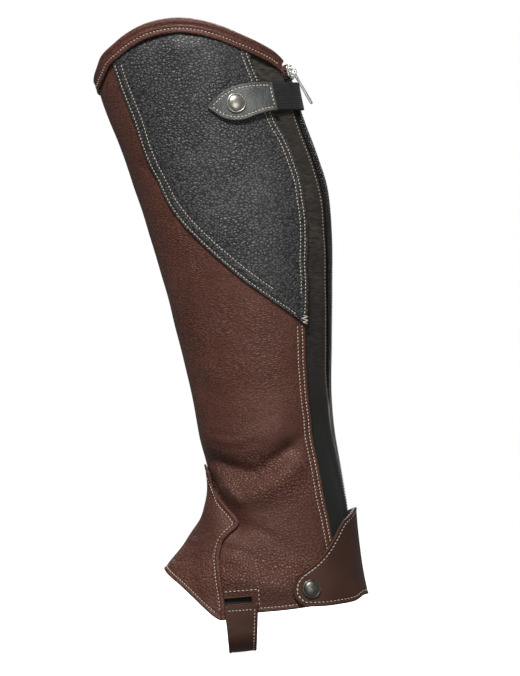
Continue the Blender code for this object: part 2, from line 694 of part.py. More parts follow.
def zip_slider():
    """The slider's body with the bridge that its pull tab hangs from."""
    centre, across, along, out = zip_frame(SLIDER_LEVEL)
    base = CHAIN_FACES[1] + 0.3
    middle = centre + out * (base + SLIDER_SIZE[2] / 2)
    body = block_object("zip_slider", SLIDER_SIZE, frame_matrix(middle, across, along, out), "bright_nickel",
                        bevel=0.9, taper=SLIDER_TAPER)
    top = centre + out * (base + SLIDER_SIZE[2])
    reach, rise = BRIDGE_LENGTH / 2 - BRIDGE_WIRE, BRIDGE_RISE + BRIDGE_WIRE
    ring = np.radians(np.arange(8) * 45)
    arch = np.radians(np.linspace(-20, 200, 15))
    points = []
    for t in arch:
        way = along * reach * np.cos(t) + out * rise * np.sin(t)
        lean = along * rise * np.cos(t) + out * reach * np.sin(t)
        lean /= np.linalg.norm(lean)
        points += [top + way + BRIDGE_WIRE * (lean * np.cos(r) + across * np.sin(r)) for r in ring]
    numbers = np.arange(len(points)).reshape(len(arch), 8)
    closed = np.concatenate([numbers, numbers[:, :1]], axis=1)
    faces = grid_quads(closed) + [tuple(numbers[0][::-1]), tuple(numbers[-1])]
    combine(body, solid_object("zip_slider_bridge", points, faces, "bright_nickel"), "UNION")


def pull_hinge():
    """The pull tab's hinge: its point, and the ways across the zip, along the hanging tab, and off it."""
    centre, across, along, out = zip_frame(SLIDER_LEVEL)
    point = centre + out * (CHAIN_FACES[1] + 0.3 + SLIDER_SIZE[2] + PIVOT_RISE)
    lift = np.radians(PULL_LIFT)
    down = -along * np.cos(lift) + out * np.sin(lift)
    face = out * np.cos(lift) + along * np.sin(lift)
    return point, across, down, face


def zip_pull_tab():
    """The pull tab, its upper end a bar under the slider's bridge, hung from an empty on its hinge."""
    point, across, down, face = pull_hinge()
    hinge = bpy.data.objects.new("pull_tab_hinge", None)
    bpy.context.scene.collection.objects.link(hinge)
    hinge.matrix_world = frame_matrix(point, across, -down, face)
    middle = point + down * (PULL_SIZE[1] / 2 - PULL_END_BAR)
    tab = block_object("zip_pull_tab", PULL_SIZE, frame_matrix(middle, across, -down, face), "bright_nickel",
                       bevel=0.3)
    eye_middle = point + down * (PULL_END_BAR + PULL_EYE[1] / 2)
    eye = block_object("pull_tab_eye", (*PULL_EYE, 4.0), frame_matrix(eye_middle, across, -down, face),
                       "bright_nickel", bevel=0.5)
    combine(tab, eye, "DIFFERENCE")
    bpy.context.view_layer.update()
    for thing in (tab, eye):
        thing.parent = hinge
        thing.matrix_parent_inverse = hinge.matrix_world.inverted()


def running_most(values, reach):
    """Each value's highest neighbour within reach, softened."""
    padded = np.pad(values, reach, mode="edge")
    most = np.array([padded[i:i + 2 * reach + 1].max() for i in range(len(values))])
    padded = np.pad(most, reach, mode="edge")
    return np.array([padded[i:i + 2 * reach + 1].mean() for i in range(len(values))])


def top_cuff():
    """The bound top edge: one strip of leather folded over the panels' upper edges."""
    edge = top_line(52)
    angle, level = moved(edge, np.full(len(edge), -CUFF_WIDTH + 3)).T
    calf_back = np.interp(level, CALF_BACK_LINE[:, 1], CALF_BACK_LINE[:, 0])
    calf_front = np.interp(level, CALF_FRONT_LINE[:, 1], CALF_FRONT_LINE[:, 0])
    on_calf = (angle > calf_back - 1) & (angle < calf_front + 1)
    outermost = np.where(on_calf, calf_inner(angle, level) + PANEL_LEATHER, 0.0)
    gusset = gusset_inner(angle, level)
    outermost = np.where(angle < calf_back - 1, gusset + STRETCH_CLOTH, outermost)
    innermost = np.where(angle < calf_back + CUFF_GUSSET_REACH, gusset, -LEATHER)
    from_zip = np.abs(angle - zip_angle(level) - np.where(angle > 180, 360, 0))
    on_tape = np.minimum(innermost, TAPE_OUTER - TAPE_CLOTH)
    innermost = np.where(from_zip < CUFF_TAPE_REACH, on_tape, innermost)
    outer = running_most(outermost, 2) + SEAM_GAP
    inner = -running_most(-innermost, 2) - LAP_GAP
    wide, middle = CUFF_LEATHER, (outer + inner) / 2
    profile = [
        (CUFF_WIDTH, outer), (CUFF_WIDTH, outer + wide), (CUFF_SEAM, outer + wide + 0.2),
        (3.0, outer + wide + CUFF_ROLL), (0.7, middle + 0.75 * (outer + wide - middle)), (0.0, middle),
        (0.7, middle - 0.75 * (middle - inner + wide)), (3.0, inner - wide - CUFF_ROLL),
        (CUFF_SEAM, inner - wide - 0.2), (CUFF_WIDTH, inner - wide), (CUFF_WIDTH, inner),
        (CUFF_SLOT_TOP, inner), (CUFF_SLOT_TOP, outer),
    ]
    rings = []
    for depth, out in profile:
        lowered = moved(edge, np.full(len(edge), -depth))
        rings.append(place(lowered[:, 0], lowered[:, 1], out))
    points = np.stack(rings, axis=1).reshape(-1, 3)
    numbers = np.arange(len(points)).reshape(len(edge), len(profile))
    closed = np.concatenate([numbers, numbers[:, :1]], axis=1)
    faces = grid_quads(closed) + [tuple(numbers[0][::-1]), tuple(numbers[-1])]
    solid_object("top_cuff", points, faces, "brown_leather")


def instep_panel():
    """The panel over the instep, whose pointed top closes the leg panel's notch."""
    rows, columns = 17, 15
    outer = resampled(np.concatenate([on_leg(INSTEP_BACK), INSTEP_TOP[:1]]), rows)
    hem = np.concatenate([on_leg(HEM_FRONT), at_angles([HEM_APEX]), mirrored(on_leg(HEM_FRONT))[::-1]])
    grid = coons(resampled(hem, columns), resampled(INSTEP_TOP, columns), outer, mirrored(outer))
    cloth("instep_panel", [grid], instep_inner, PANEL_LEATHER, "brown_leather")


def strap_place(angle, level, out):
    """Points this far outside the leg for a stiff strap, which doesn't follow the folds."""
    angle, level, out = np.broadcast_arrays(angle, level, out)
    return skin(angle, level) + normals(skin, angle, level) * out[..., None]


def strap_object(name, grid, inner, thickness, finish):
    faces = [strap_place(grid[..., 0], grid[..., 1], inner + extra) for extra in (0.0, thickness)]
    numbers = np.arange(grid[..., 0].size).reshape(grid.shape[:2])
    wall_object(name, faces[0].reshape(-1, 3), faces[1].reshape(-1, 3), grid_quads(numbers), finish)


def heel_strap():
    """The leather strap round the heel, sewn on at the inner side and snapped on at the outer side."""
    rows, columns = 8, 24
    top = np.concatenate([at_angles(HEEL_TOP_INNER), on_leg(HEEL_TOP)])
    bottom = np.concatenate([at_angles(HEEL_HEM_INNER), on_leg(HEEL_HEM)])
    left = np.linspace(bottom[0], top[0], rows)
    grid = coons(resampled(bottom, columns), resampled(top, columns), left, resampled(on_leg(HEEL_LOBE), rows))
    up = np.linspace(0, 1, rows)[:, None]
    angle = grid[..., 0]
    rest = np.interp(angle, HEEL_REST["angle"], HEEL_REST["out"])
    off = HEEL_STAND_OFF
    stand_off = off["upper"] * up**2 * np.exp(-(((angle - off["angle"]) / off["spread"]) ** 2))
    strap_object("heel_strap", grid, rest + stand_off, HEEL_LEATHER, "smooth_brown_leather")


def strap_elastic():
    """The elastic of the top strap: sewn down at the inner side, its upper edge off the leg over the zip."""
    rows, columns = 4, 22
    up = np.linspace(0, 1, rows)[:, None]
    angle, z = np.broadcast_arrays(np.linspace(*BAND_ENDS, columns), BAND_EDGES[0] + np.ptp(BAND_EDGES) * up)
    rest = BAND_END_REST + (BAND_REST - BAND_END_REST) * smoothstep(BAND_ENDS[0] + 6, BAND_ENDS[0] + 20, angle)
    off = BAND_STAND_OFF
    lift = off["lower"] + (off["upper"] - off["lower"]) * up
    lift = lift * np.exp(-(((angle - off["angle"]) / off["spread"]) ** 2))
    grid = np.stack([angle, level_at(angle, z)], axis=-1)
    strap_object("strap_elastic", grid, rest + lift, ELASTIC, "black_elastic")


def tab_inner(angle, level):
    """The tab's inner face: on the calf panel at its tip, on the elastic at its other end."""
    return np.interp(skin(angle, level)[..., 0], TAB_REST["x"], TAB_REST["out"])


def strap_tab():
    bottom, top = on_leg(TAB_BOTTOM), on_leg(TAB_TOP)
    grid = coons(resampled(bottom, 13), resampled(top, 13), np.linspace(bottom[0], top[0], 6),
                 np.linspace(bottom[-1], top[-1], 6))
    cloth("strap_tab", [grid], tab_inner, STRAP_LEATHER, "black_tab_leather")


def snap(name, spot, strap_inner, thickness, surface):
    """A snap fastener: a domed cap on the strap, and its stud between the strap and the leather."""
    angle, level = on_leg([spot]).T
    base, out = surface(angle, level, 0.0)[0], normals(skin, angle, level)[0]
    cap_base, rim = strap_inner + thickness + SNAP_EDGE, SNAP_RIM
    turn = np.radians(np.linspace(0, 90, 6)[1:-1])
    dome = [(SNAP_RADIUS * np.cos(t), cap_base + rim + (SNAP_DOME - rim) * np.sin(t)) for t in turn]
    cap = [(0, cap_base), (SNAP_RADIUS - 2 * SNAP_EDGE, cap_base), (SNAP_RADIUS, cap_base + SNAP_EDGE),
           (SNAP_RADIUS, cap_base + rim), *dome, (0, cap_base + SNAP_DOME)]
    turned_object(f"snap_cap_{name}", cap, base, out, "antique_nickel")
    low, high = STUD_BASE, strap_inner - STUD_BASE - STUD_GAP
    stud = [(0, low), (STUD_RADIUS, low), (STUD_RADIUS, high), (0, high)]
    turned_object(f"snap_stud_{name}", stud, base, out, "antique_nickel", steps=20)


def foot_elastics():
    """Two short elastics behind the windows, sewn inside the leg panel."""
    rows, columns, box = 5, 6, FOOT_ELASTIC
    x, z = np.meshgrid(np.linspace(box["back"], box["front"], columns), np.linspace(box["bottom"], box["top"], rows))
    outer = on_leg(np.stack([x.ravel(), z.ravel()], axis=-1))
    for name, places in (("foot_elastic_outer", outer), ("foot_elastic_inner", mirrored(outer))):
        grid = places.reshape(rows, columns, 2)
        cloth(name, [grid], FOOT_ELASTIC_OUTER - ELASTIC, ELASTIC, "black_elastic")


def strap_row(z):
    """x of the foot strap's points across it, at this height."""
    drop = (z - STRAP_TOP["z"]) / (STRAP_BASE["z"] - STRAP_TOP["z"])
    front, back = (STRAP_TOP[edge] + (STRAP_BASE[edge] - STRAP_TOP[edge]) * drop for edge in ("front", "back"))
    return np.linspace(front, back, 5)


def foot_strap():
    """The strap under the sole: down the outer side, flat beneath, and up the inner side."""
    bend_z, bend_y = STRAP_BASE["z"] + STRAP_CORNER, STRAP_SIDE - STRAP_CORNER
    turns = np.radians(np.linspace(0, 90, 7))
    bends = [(bend_y, STRAP_BEND_TOP, turns[0]), *((bend_y, bend_z, t) for t in turns),
             (bend_y / 2, bend_z, turns[-1])]
    faces = []
    for extra in (0.0, STRAP_LEATHER):
        sides = []
        for side in (-1, 1):
            rows = []
            for z in STRAP_LAP_LEVELS:
                x = strap_row(z)
                places = on_leg(np.stack([x, z + STRAP_SLOPE * x], axis=-1))
                places = places if side < 0 else mirrored(places)
                rows.append(place(places[:, 0], places[:, 1], LAP_GAP + extra))
            radius = STRAP_CORNER - STRAP_LEATHER + extra
            for y, z, turn in bends:
                height = z - radius * np.sin(turn)
                x = strap_row(height)
                width = np.full(len(x), side * (y + radius * np.cos(turn)))
                rows.append(np.stack([x, width, height + STRAP_SLOPE * x], axis=-1))
            sides.append(rows if side < 0 else rows[::-1])
        faces.append(np.array(sides[0] + sides[1]))
    numbers = np.arange(faces[0][..., 0].size).reshape(faces[0].shape[:2])
    wall_object("foot_strap", faces[0].reshape(-1, 3), faces[1].reshape(-1, 3), grid_quads(numbers),
                "smooth_brown_leather")


def remove_everything():
    for thing in list(bpy.data.objects):
        bpy.data.objects.remove(thing, do_unlink=True)


def main():
    remove_everything()
    leg_panel()
    calf_panel()
    stretch_gusset()
    zip_tapes()
    zip_chain()
    zip_slider()
    zip_pull_tab()
    top_cuff()
    strap_elastic()
    strap_tab()
    instep_panel()
    heel_strap()
    foot_elastics()
    foot_strap()
    snap("top", TAB_SNAP, TAB_REST_AT_SNAP, STRAP_LEATHER, place)
    snap("heel", HEEL_SNAP, HEEL_REST_AT_SNAP, HEEL_LEATHER, strap_place)


main()
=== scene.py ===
"""Looks of a tall left riding half chap: leather and cloth shells, sewing, zip, snaps, and a plain studio.

Frame: +Z up, -X to the front of the leg, -Y to the leg's outer side, the origin in the middle of the calf.
Sizes are millimetres. A place on the leg is (angle, level): the angle in degrees round the leg, 0 at the
back, 90 at the outer side, 180 at the front and 270 at the inner side, and the height of its ring. A distance
out is measured from the outer face of the main leather.
"""

import bmesh
import bpy
import numpy as np
from mathutils import Matrix
from mathutils.kdtree import KDTree


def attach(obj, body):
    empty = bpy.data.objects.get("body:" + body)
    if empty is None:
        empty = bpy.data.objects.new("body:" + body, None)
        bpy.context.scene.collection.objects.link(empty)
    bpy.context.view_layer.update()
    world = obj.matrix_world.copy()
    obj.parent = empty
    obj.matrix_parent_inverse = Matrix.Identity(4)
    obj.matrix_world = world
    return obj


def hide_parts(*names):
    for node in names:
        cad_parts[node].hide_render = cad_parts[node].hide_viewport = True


METRES = 0.001
SEED = 7

# Thicknesses of the cut pieces and how they lap
LEATHER = 1.6
PANEL_LEATHER = 1.4
STRETCH_CLOTH = 1.1
TAPE_CLOTH = 0.9
CUFF_LEATHER = 1.4
STRAP_LEATHER = 2.2
HEEL_LEATHER = 2.0
ELASTIC = 1.3
SEAM_GAP = 0.4
LAP_GAP = 0.65
LAP = 10.0
CALF_RAMP = (12.0, 42.0)
INSTEP_RAMP = (10.5, 27.0)

# Top cuff: how far it reaches down, and where the panels end inside it
CUFF_WIDTH = 11.4
CUFF_SLOT_TOP = 4.2
PANEL_TOP = 5.3
CUFF_ROLL = 1.0
CUFF_OPENING = 5.2
CUFF_GUSSET_REACH = 14.0
CUFF_TAPE_REACH = 16.0

# Zip, with distances from its middle line
CHAIN_HALF_WIDTH = 2.75
CHAIN_FACES = (-1.6, 0.6)
TAPE_EDGES = (3.05, 14.0)
TAPE_OUTER = -2.2
OPENING_EDGE = 8.4
GUSSET_LIP = (6.2, 15.0)
GUSSET_BOTTOM = -314.0
CHAIN_BOTTOM = -298.0
COIL_PITCH = 2.1
COIL_WIRE = 0.54
COIL_TOP = 1.45
SLIDER_LEVEL = 62.0
SLIDER_SIZE = (8.4, 11.0, 2.6)
BRIDGE_LENGTH = 7.6
BRIDGE_RISE = 2.65
BRIDGE_WIRE = 0.6
PIVOT_RISE = 1.15
PULL_SIZE = (4.8, 28.5, 1.3)
PULL_END_BAR = 0.7
PULL_EYE = (2.2, 4.6)
PULL_LIFT = 16.0

# Snap fasteners
SNAP_RADIUS = 7.5
SNAP_DOME = 3.0
SNAP_EDGE = 0.3

# Rings round the leg, from the foot up. front and back are the x of the leather's outer face, rise is how
# much higher a ring's back is than its front, and egg widens its back half and narrows its front half.
SECTION_COLUMNS = ("level", "front", "back", "rise", "half_width", "egg")
SECTIONS = np.array(
    [
        (-337.5, -71.0, 108.0, -24.0, 46.5, 0.16),
        (-318.0, -59.5, 104.5, -21.0, 45.5, 0.16),
        (-301.0, -49.0, 101.5, -18.5, 44.5, 0.15),
        (-286.5, -37.5, 98.2, -18.0, 43.5, 0.13),
        (-273.0, -29.0, 95.2, -15.0, 42.5, 0.10),
        (-258.7, -21.5, 92.2, -10.5, 41.8, 0.07),
        (-243.0, -16.0, 89.4, -6.0, 41.2, 0.05),
        (-227.2, -14.6, 86.0, -1.5, 41.0, 0.05),
        (-210.7, -17.5, 82.4, 1.5, 41.0, 0.05),
        (-191.2, -22.2, 78.4, 4.5, 42.0, 0.05),
        (-163.5, -27.0, 75.8, 6.0, 44.0, 0.06),
        (-129.7, -33.8, 76.3, 13.5, 47.0, 0.08),
        (-93.0, -42.2, 77.2, 21.0, 50.0, 0.10),
        (-56.2, -51.0, 77.3, 28.5, 52.5, 0.11),
        (-24.7, -60.0, 74.6, 31.5, 53.5, 0.11),
        (0.7, -68.3, 67.5, 31.0, 53.5, 0.10),
        (23.2, -75.8, 59.0, 31.0, 53.0, 0.09),
        (46.0, -83.3, 50.8, 35.0, 52.5, 0.08),
        (66.0, -90.8, 44.8, 39.0, 52.0, 0.08),
        (87.0, -97.5, 39.5, 41.0, 52.0, 0.08),
        (107.0, -101.0, 35.0, 42.0, 52.0, 0.08),
        (130.0, -104.0, 30.0, 42.0, 52.0, 0.08),
    ],
    dtype=[(name, float) for name in SECTION_COLUMNS],
)

# The zip's middle line, from the foot up
ZIP_COLUMNS = ("level", "angle")
ZIP_LINE = np.array(
    [(-345, -22), (-290, -20), (-230, -14), (-190, -5), (-155, 3), (-120, 8.5), (-80, 12), (-40, 13.5),
     (0, 14), (40, 14), (100, 14)],
    dtype=[(name, float) for name in ZIP_COLUMNS],
)

# Folds on the outer side: how far each stands out, its half width, and its line of (angle, level) places
FOLDS = {
    "ankle crease": (-4.6, 6.5, [(180, -212), (150, -210), (125, -217), (108, -220), (92, -215), (80, -208),
                                 (72, -203)]),
    "roll above the crease": (2.2, 11.0, [(150, -190), (125, -196), (100, -196), (80, -188)]),
    "roll below the crease": (3.4, 9.0, [(140, -232), (124, -239), (108, -236), (88, -226), (72, -214)]),
    "hollow beside the instep": (-3.8, 7.5, [(166, -230), (150, -239), (134, -250), (120, -262)]),
    "roll at the instep seam": (1.6, 8.0, [(112, -286), (104, -292), (96, -298)]),
    "roll over the hem": (3.0, 9.0, [(106, -302), (92, -306), (82, -304)]),
    "slack below the calf": (-1.3, 12.0, [(150, -150), (120, -158), (90, -156)]),
}
# Smaller ones, given alike, but with lines of (x, z) points seen square on from the outer side
CREASES = {
    "ridge beside the instep seam": (1.3, 3.6, [(-11, -216), (-3, -224), (3, -232), (9, -241)]),
    "fine crease over the ankle": (-0.7, 2.2, [(-14, -196), (-4, -200), (8, -201), (20, -197)]),
    "shorter crease over it": (-0.6, 2.0, [(-13, -189), (-3, -191.5), (8, -191)]),
    "crease at the back of the ankle": (-0.9, 3.0, [(30, -210), (42, -203), (54, -193)]),
    "small fold above the window": (-0.9, 3.0, [(-2, -276), (10, -279), (20, -285)]),
    "second fold above the window": (0.8, 3.0, [(-3, -283), (8, -287), (17, -293)]),
    "slack near the heel strap": (-0.8, 4.0, [(20, -262), (34, -268), (46, -279)]),
    "crease on the instep panel": (-0.7, 2.0, [(-30, -266), (-22, -267), (-13, -264)]),
    "lower crease on the instep panel": (-0.7, 2.2, [(-34, -273), (-24, -275), (-13, -271)]),
    "long crease on the instep panel": (-0.8, 3.0, [(-42, -285), (-30, -287), (-16, -281)]),
    "crease down the calf panel": (-0.8, 5.0, [(-26, 98), (-24, 70), (-27, 44), (-30, 22)]),
    "soft fold beside it": (0.6, 6.0, [(-8, 96), (-6, 76), (-9, 60)]),
    "crease at the shin": (-0.7, 4.0, [(-66, 12), (-54, 2), (-44, -10)]),
    "soft fold down the shin": (0.6, 6.0, [(-28, -70), (-22, -110), (-14, -150)]),
}
FOLD_MM_PER_DEGREE = 0.85
FOLD_FADE = (-3.0, 34.0)
INNER_FOLD_DROP = 6.0
INNER_FOLD_SHARE = 0.85

# Outlines on the outer side, as (x, z) seen square on from that side, each from its lower end up
CALF_PANEL_FRONT = [(55.5, -108.5), (42, -97.5), (31, -90), (10.5, -75), (-7, -60), (-23, -45),
                    (-36.5, -30), (-46.5, -15), (-53.5, 0), (-60.5, 15), (-66, 30), (-71, 45), (-77, 60),
                    (-82.5, 75), (-87, 90), (-90, 103)]
CALF_PANEL_BACK = [(57.5, -109.5), (58.5, -90), (59, -75), (59, -60), (59.5, -45), (59, -30), (57, -15),
                   (54.5, 0), (49.5, 15), (43.5, 30), (35.5, 45), (29.5, 60), (23.5, 75), (17.5, 90), (11, 112)]
LEG_BACK = [(84, -315.4), (82, -292.5), (79, -274), (75.5, -255), (72, -240), (69.5, -225), (66.5, -210),
            (63.5, -195), (62, -180), (60, -165), (59, -150), (58, -135), (57.6, -120), (57.2, -112)]
INSTEP_BACK = [(-2.2, -329.8), (-2.4, -321.5), (-3.4, -312), (-5.2, -296), (-6.3, -283), (-4.3, -272),
               (1, -265), (5.5, -259.5), (6.5, -256), (4, -252), (-1.5, -246), (-8, -238.5), (-13, -230)]
LEG_INSTEP = [(-15, -324.5), (-17, -307.5), (-17, -289), (-13.5, -276), (-7.5, -266), (-4.5, -257),
              (-9, -249)]
TOP_EDGE = [(34.5, 96), (25, 102), (9, 109.5), (-7, 116), (-22, 120), (-40, 121.5), (-52, 120),
            (-63, 117), (-77, 109.5), (-86, 102), (-94, 94), (-97.5, 85.5)]
HEM_FRONT = [(-2.2, -329.8), (-6, -330.2), (-10.5, -327.9), (-18, -321.6), (-29, -311.4), (-40.5, -301)]
HEM_BACK = [(84, -315.4), (68, -318.6), (53, -321), (38, -322.8), (22, -324.2), (8, -326), (-5, -327.6),
            (-15, -324.5)]
HEEL_TOP = [(87.2, -251.6), (84, -255.4), (81.4, -260), (77.9, -267), (73.4, -275), (67.6, -283),
            (60.2, -290), (53.8, -294.8), (50.6, -298)]
HEEL_LOBE = [(56, -319.8), (51, -316.2), (47.7, -309.5), (48.2, -302.8), (50.6, -298)]
HEEL_HEM = [(94, -315.6), (83, -318), (69, -319.6), (56, -319.8)]
TAB_TOP = [(29.5, 72.4), (14.5, 72.2), (3.5, 70), (-5.5, 65.5), (-10.8, 60.4), (-15.5, 55.8)]
TAB_BOTTOM = [(34.4, 51.2), (26, 50), (18, 47.2), (9.5, 44.2), (2.5, 43.9), (-5, 46), (-11, 50),
              (-15.5, 53.4)]
TAB_SNAP = (4.5, 57.0)
HEEL_SNAP = (60.9, -306.5)
HEEL_SNAP_RADIUS = 7.05

# How far the tab and the heel strap lie off the leather, along x and round the heel
TAB_REST = {"x": [-16.0, 5.0, 22.0, 35.0], "out": [0.9, 2.1, 2.8, 2.9]}
TAB_REST_AT_SNAP = 2.1
HEEL_REST = {"angle": [-50.0, -36.0, -10.0, 20.0, 36.0, 50.0],
             "out": [0.4, 1.0, 1.1, 1.0, 1.0, 1.6]}
HEEL_REST_AT_SNAP = 1.6
HEEL_STAND_OFF = {"angle": -2.0, "spread": 22.0, "upper": 3.2}

# The same edges where they go on past the front or the back, as (angle, z)
TOP_EDGE_INNER = [(180, 77), (200, 75.5), (230, 76), (260, 78), (290, 81.0), (320, 84.2), (345, 86.3)]
TOP_EDGE_AT_ZIP = (91.5, 87.0)
HEEL_TOP_INNER = [(-58, -270), (-42, -258), (-26, -250), (-8, -247), (8, -247)]
HEEL_HEM_INNER = [(-58, -317), (-25, -313.0), (0, -311.5), (18, -312.5)]
HEM_APEX = (180.0, -292.0)
INSTEP_TOP = [(166, -220), (180, -212.5), (194, -220)]
LEG_INSTEP_TOP = [(164, -238.5), (172, -232), (180, -226.5)]

# Elastic band of the top strap: its edges' z, the angles of its ends, and how its upper edge stands off
BAND_EDGES = (52.3, 72.3)
BAND_ENDS = (-46.0, 51.0)
BAND_REST = 1.0
BAND_END_REST = 0.4
BAND_STAND_OFF = {"angle": 14.0, "spread": 20.0, "upper": 3.2, "lower": 0.4}
BAND_RIBS = 13

# Foot strap and the elastics that it hangs from, as x and z seen from the outer side
WINDOW = {"x": 7.0, "z": -315.4, "length": 21.0, "height": 4.8, "slope": 5.0}
WINDOW_PIPING = 0.6
FOOT_ELASTIC = {"front": -5.0, "back": 19.0, "top": -303.0, "bottom": -321.0}
FOOT_ELASTIC_OUTER = -2.3
FOOT_ELASTIC_RIBS = 12
STRAP_TOP = {"front": -3.2, "back": 22.2, "z": -319.4}
STRAP_BASE = {"front": 0.2, "back": 20.8, "z": -354.8}
STRAP_LAP_LEVELS = (-319.4, -327.2)
STRAP_BEND_TOP = -335.0
STRAP_SLOPE = 0.1
STRAP_SIDE = 47.2
STRAP_CORNER = 15.0

# Fine steps inwards from a piece's edge: for its rounded rim, and for a rim with rows of sewing beside it
RIM_STEPS = (0.22, 0.55, 1.0, 1.7)
SEAM_STEPS = (0.22, 0.55, 1.0, 1.6, 2.2, 2.9, 3.6, 4.4, 5.3, 6.3, 7.3, 8.3, 9.6)
RIM_ROUND = 0.42

# Sewing: distances of its rows from each edge, and the stitches' own sizes
STITCH = {"pitch": 2.62, "length": 1.6, "radius": 0.31, "slant": 0.16}
CALF_FRONT_ROWS = (2.1, 8.0)
CALF_BACK_ROWS = (3.0, 7.0)
LEG_BACK_ROWS = (3.0, 7.0)
INSTEP_ROW = 4.1
HEM_ROW = 3.2
GUSSET_ROW = 2.2
CUFF_ROW = 8.3
TAB_ROW = 2.7
HEEL_ROW = 3.2
FOOT_STRAP_ROW = 2.5
INSET_COLUMNS = 26

# Short lines of sewing, as (x, z) corners seen from the outer side
WINDOW_BOX = [(-4.5, -309.0), (22.5, -307.0), (22.8, -320.2)]
FOOT_STRAP_TOP = [(-1.2, -323.6), (18.6, -321.8)]
BARTACK = [(52.6, -101.0), (57.6, -102.4), (53.4, -103.8), (58.0, -105.2), (54.2, -106.6), (58.2, -107.8)]


def smoothstep(low, high, value):
    share = np.clip((value - low) / (high - low), 0.0, 1.0)
    return share * share * (3 - 2 * share)


def hump(value, middle, width):
    return np.exp(-(((value - middle) / width) ** 2))


def unit(vectors):
    return vectors / np.linalg.norm(vectors, axis=-1, keepdims=True)


def spline(knots, values, at):
    """A smooth curve through a table's rows: cubic, with slopes taken from the neighbouring rows."""
    slopes = np.gradient(values, knots)
    row = np.clip(np.searchsorted(knots, at) - 1, 0, len(knots) - 2)
    span = knots[row + 1] - knots[row]
    share = (at - knots[row]) / span
    square, cube = share**2, share**3
    return (
        (2 * cube - 3 * square + 1) * values[row]
        + (cube - 2 * square + share) * span * slopes[row]
        + (3 * square - 2 * cube) * values[row + 1]
        + (cube - square) * span * slopes[row + 1]
    )


def section(name, level):
    return spline(SECTIONS["level"], SECTIONS[name], level)


def skin(angle, level):
    """Points of the leather's outer face before the folds."""
    turn = np.radians(angle)
    along = np.cos(turn)
    front, back = section("front", level), section("back", level)
    x = (front + back) / 2 + (back - front) / 2 * along
    y = -section("half_width", level) * np.sin(turn) * (1 + section("egg", level) * along)
    z = level + section("rise", level) / 2 * along
    return np.stack([x, y, z], axis=-1)


def normals(points_at, angle, level):
    round_leg = points_at(angle + 0.4, level) - points_at(angle - 0.4, level)
    up_leg = points_at(angle, level + 0.4) - points_at(angle, level - 0.4)
    return unit(np.cross(up_leg, round_leg))


def off_line(angle, level, line):
    """How far places lie from a line of places, on the leg unrolled flat."""
    nearest = np.full(np.shape(angle), np.inf)
    for (angle_a, level_a), (angle_b, level_b) in zip(line, line[1:]):
        across, up = (angle_b - angle_a) * FOLD_MM_PER_DEGREE, level_b - level_a
        from_a, above_a = (angle - angle_a) * FOLD_MM_PER_DEGREE, level - level_a
        share = np.clip((from_a * across + above_a * up) / (across**2 + up**2), 0, 1)
        nearest = np.minimum(nearest, np.hypot(from_a - share * across, above_a - share * up))
    return nearest


def fold_height(angle, level):
    """The folds' height, on the outer side and, a little lower and softer, on the inner side."""
    angle, level = np.broadcast_arrays(np.mod(angle, 360.0), level)
    outer_share = smoothstep(*FOLD_FADE, 180 - angle)
    inner_share = INNER_FOLD_SHARE * smoothstep(*FOLD_FADE, angle - 180)
    height = np.zeros(angle.shape)
    for rise, width, line in folds_on_leg:
        height += rise * outer_share * hump(off_line(angle, level, line), 0, width)
        height += rise * inner_share * hump(off_line(360 - angle, level + INNER_FOLD_DROP, line), 0, width)
    return height


def leg(angle, level):
    """Points of the leather's outer face, with the folds."""
    return skin(angle, level) + normals(skin, angle, level) * fold_height(angle, level)[..., None]


def place(angle, level, out, surface=leg):
    """Points this far outside the leather's outer face, or outside the smooth skin for a stiff strap."""
    angle, level, out = np.broadcast_arrays(angle, level, out)
    return surface(angle, level) + normals(surface, angle, level) * out[..., None]


def level_at(angle, z):
    """The level of the ring that has this height at this angle."""
    angle, z = np.broadcast_arrays(np.array(angle, float), np.array(z, float))
    level = z.copy()
    for _ in range(30):
        level = z - section("rise", level) / 2 * np.cos(np.radians(angle))
    return level


def on_leg(points):
    """Places of points (x, z) seen square on from the outer side."""
    x, z = np.array(points, float).T
    level = z.copy()
    for _ in range(60):
        front, back = section("front", level), section("back", level)
        along = np.clip((x - (front + back) / 2) / ((back - front) / 2), -0.9995, 0.9995)
        level = 0.5 * level + 0.5 * (z - section("rise", level) / 2 * along)
    return np.stack([np.degrees(np.arccos(along)), level], axis=-1)


# All folds and creases, with lines of places
folds_on_leg = [*FOLDS.values(), *((rise, width, on_leg(line)) for rise, width, line in CREASES.values())]


def at_angles(rows):
    """Places of rows (angle, z)."""
    angle, z = np.array(rows, float).T
    return np.stack([angle, level_at(angle, z)], axis=-1)


def runs(points):
    """How far along a line of points each one lies."""
    return np.concatenate([[0], np.cumsum(np.linalg.norm(np.diff(points, axis=0), axis=1))])


def run_along(places):
    return runs(skin(*places.T))


def share_along(places):
    run = run_along(places)
    return run / run[-1]


def even(count):
    return np.linspace(0, 1, count)


def stepped(length, count, near_start=(), near_end=()):
    """Shares of a length: fine steps in from its ends, and count even steps between them."""
    start, end = np.array([0, *near_start]), np.array([0, *near_end])
    middle = np.linspace(start[-1], length - end[-1], count + 1)
    return np.concatenate([start[:-1], middle, length - end[-2::-1]]) / length


def resampled(places, shares):
    """A smooth curve through places, taken at these shares of its length."""
    places = np.array(places, float)
    knots = run_along(places)
    fine = np.linspace(0, knots[-1], 12 * max(len(shares), 40))
    curve = np.stack([spline(knots, places[:, k], fine) for k in (0, 1)], axis=-1)
    run = run_along(curve)
    return np.stack([np.interp(run[-1] * shares, run, curve[:, k]) for k in (0, 1)], axis=-1)


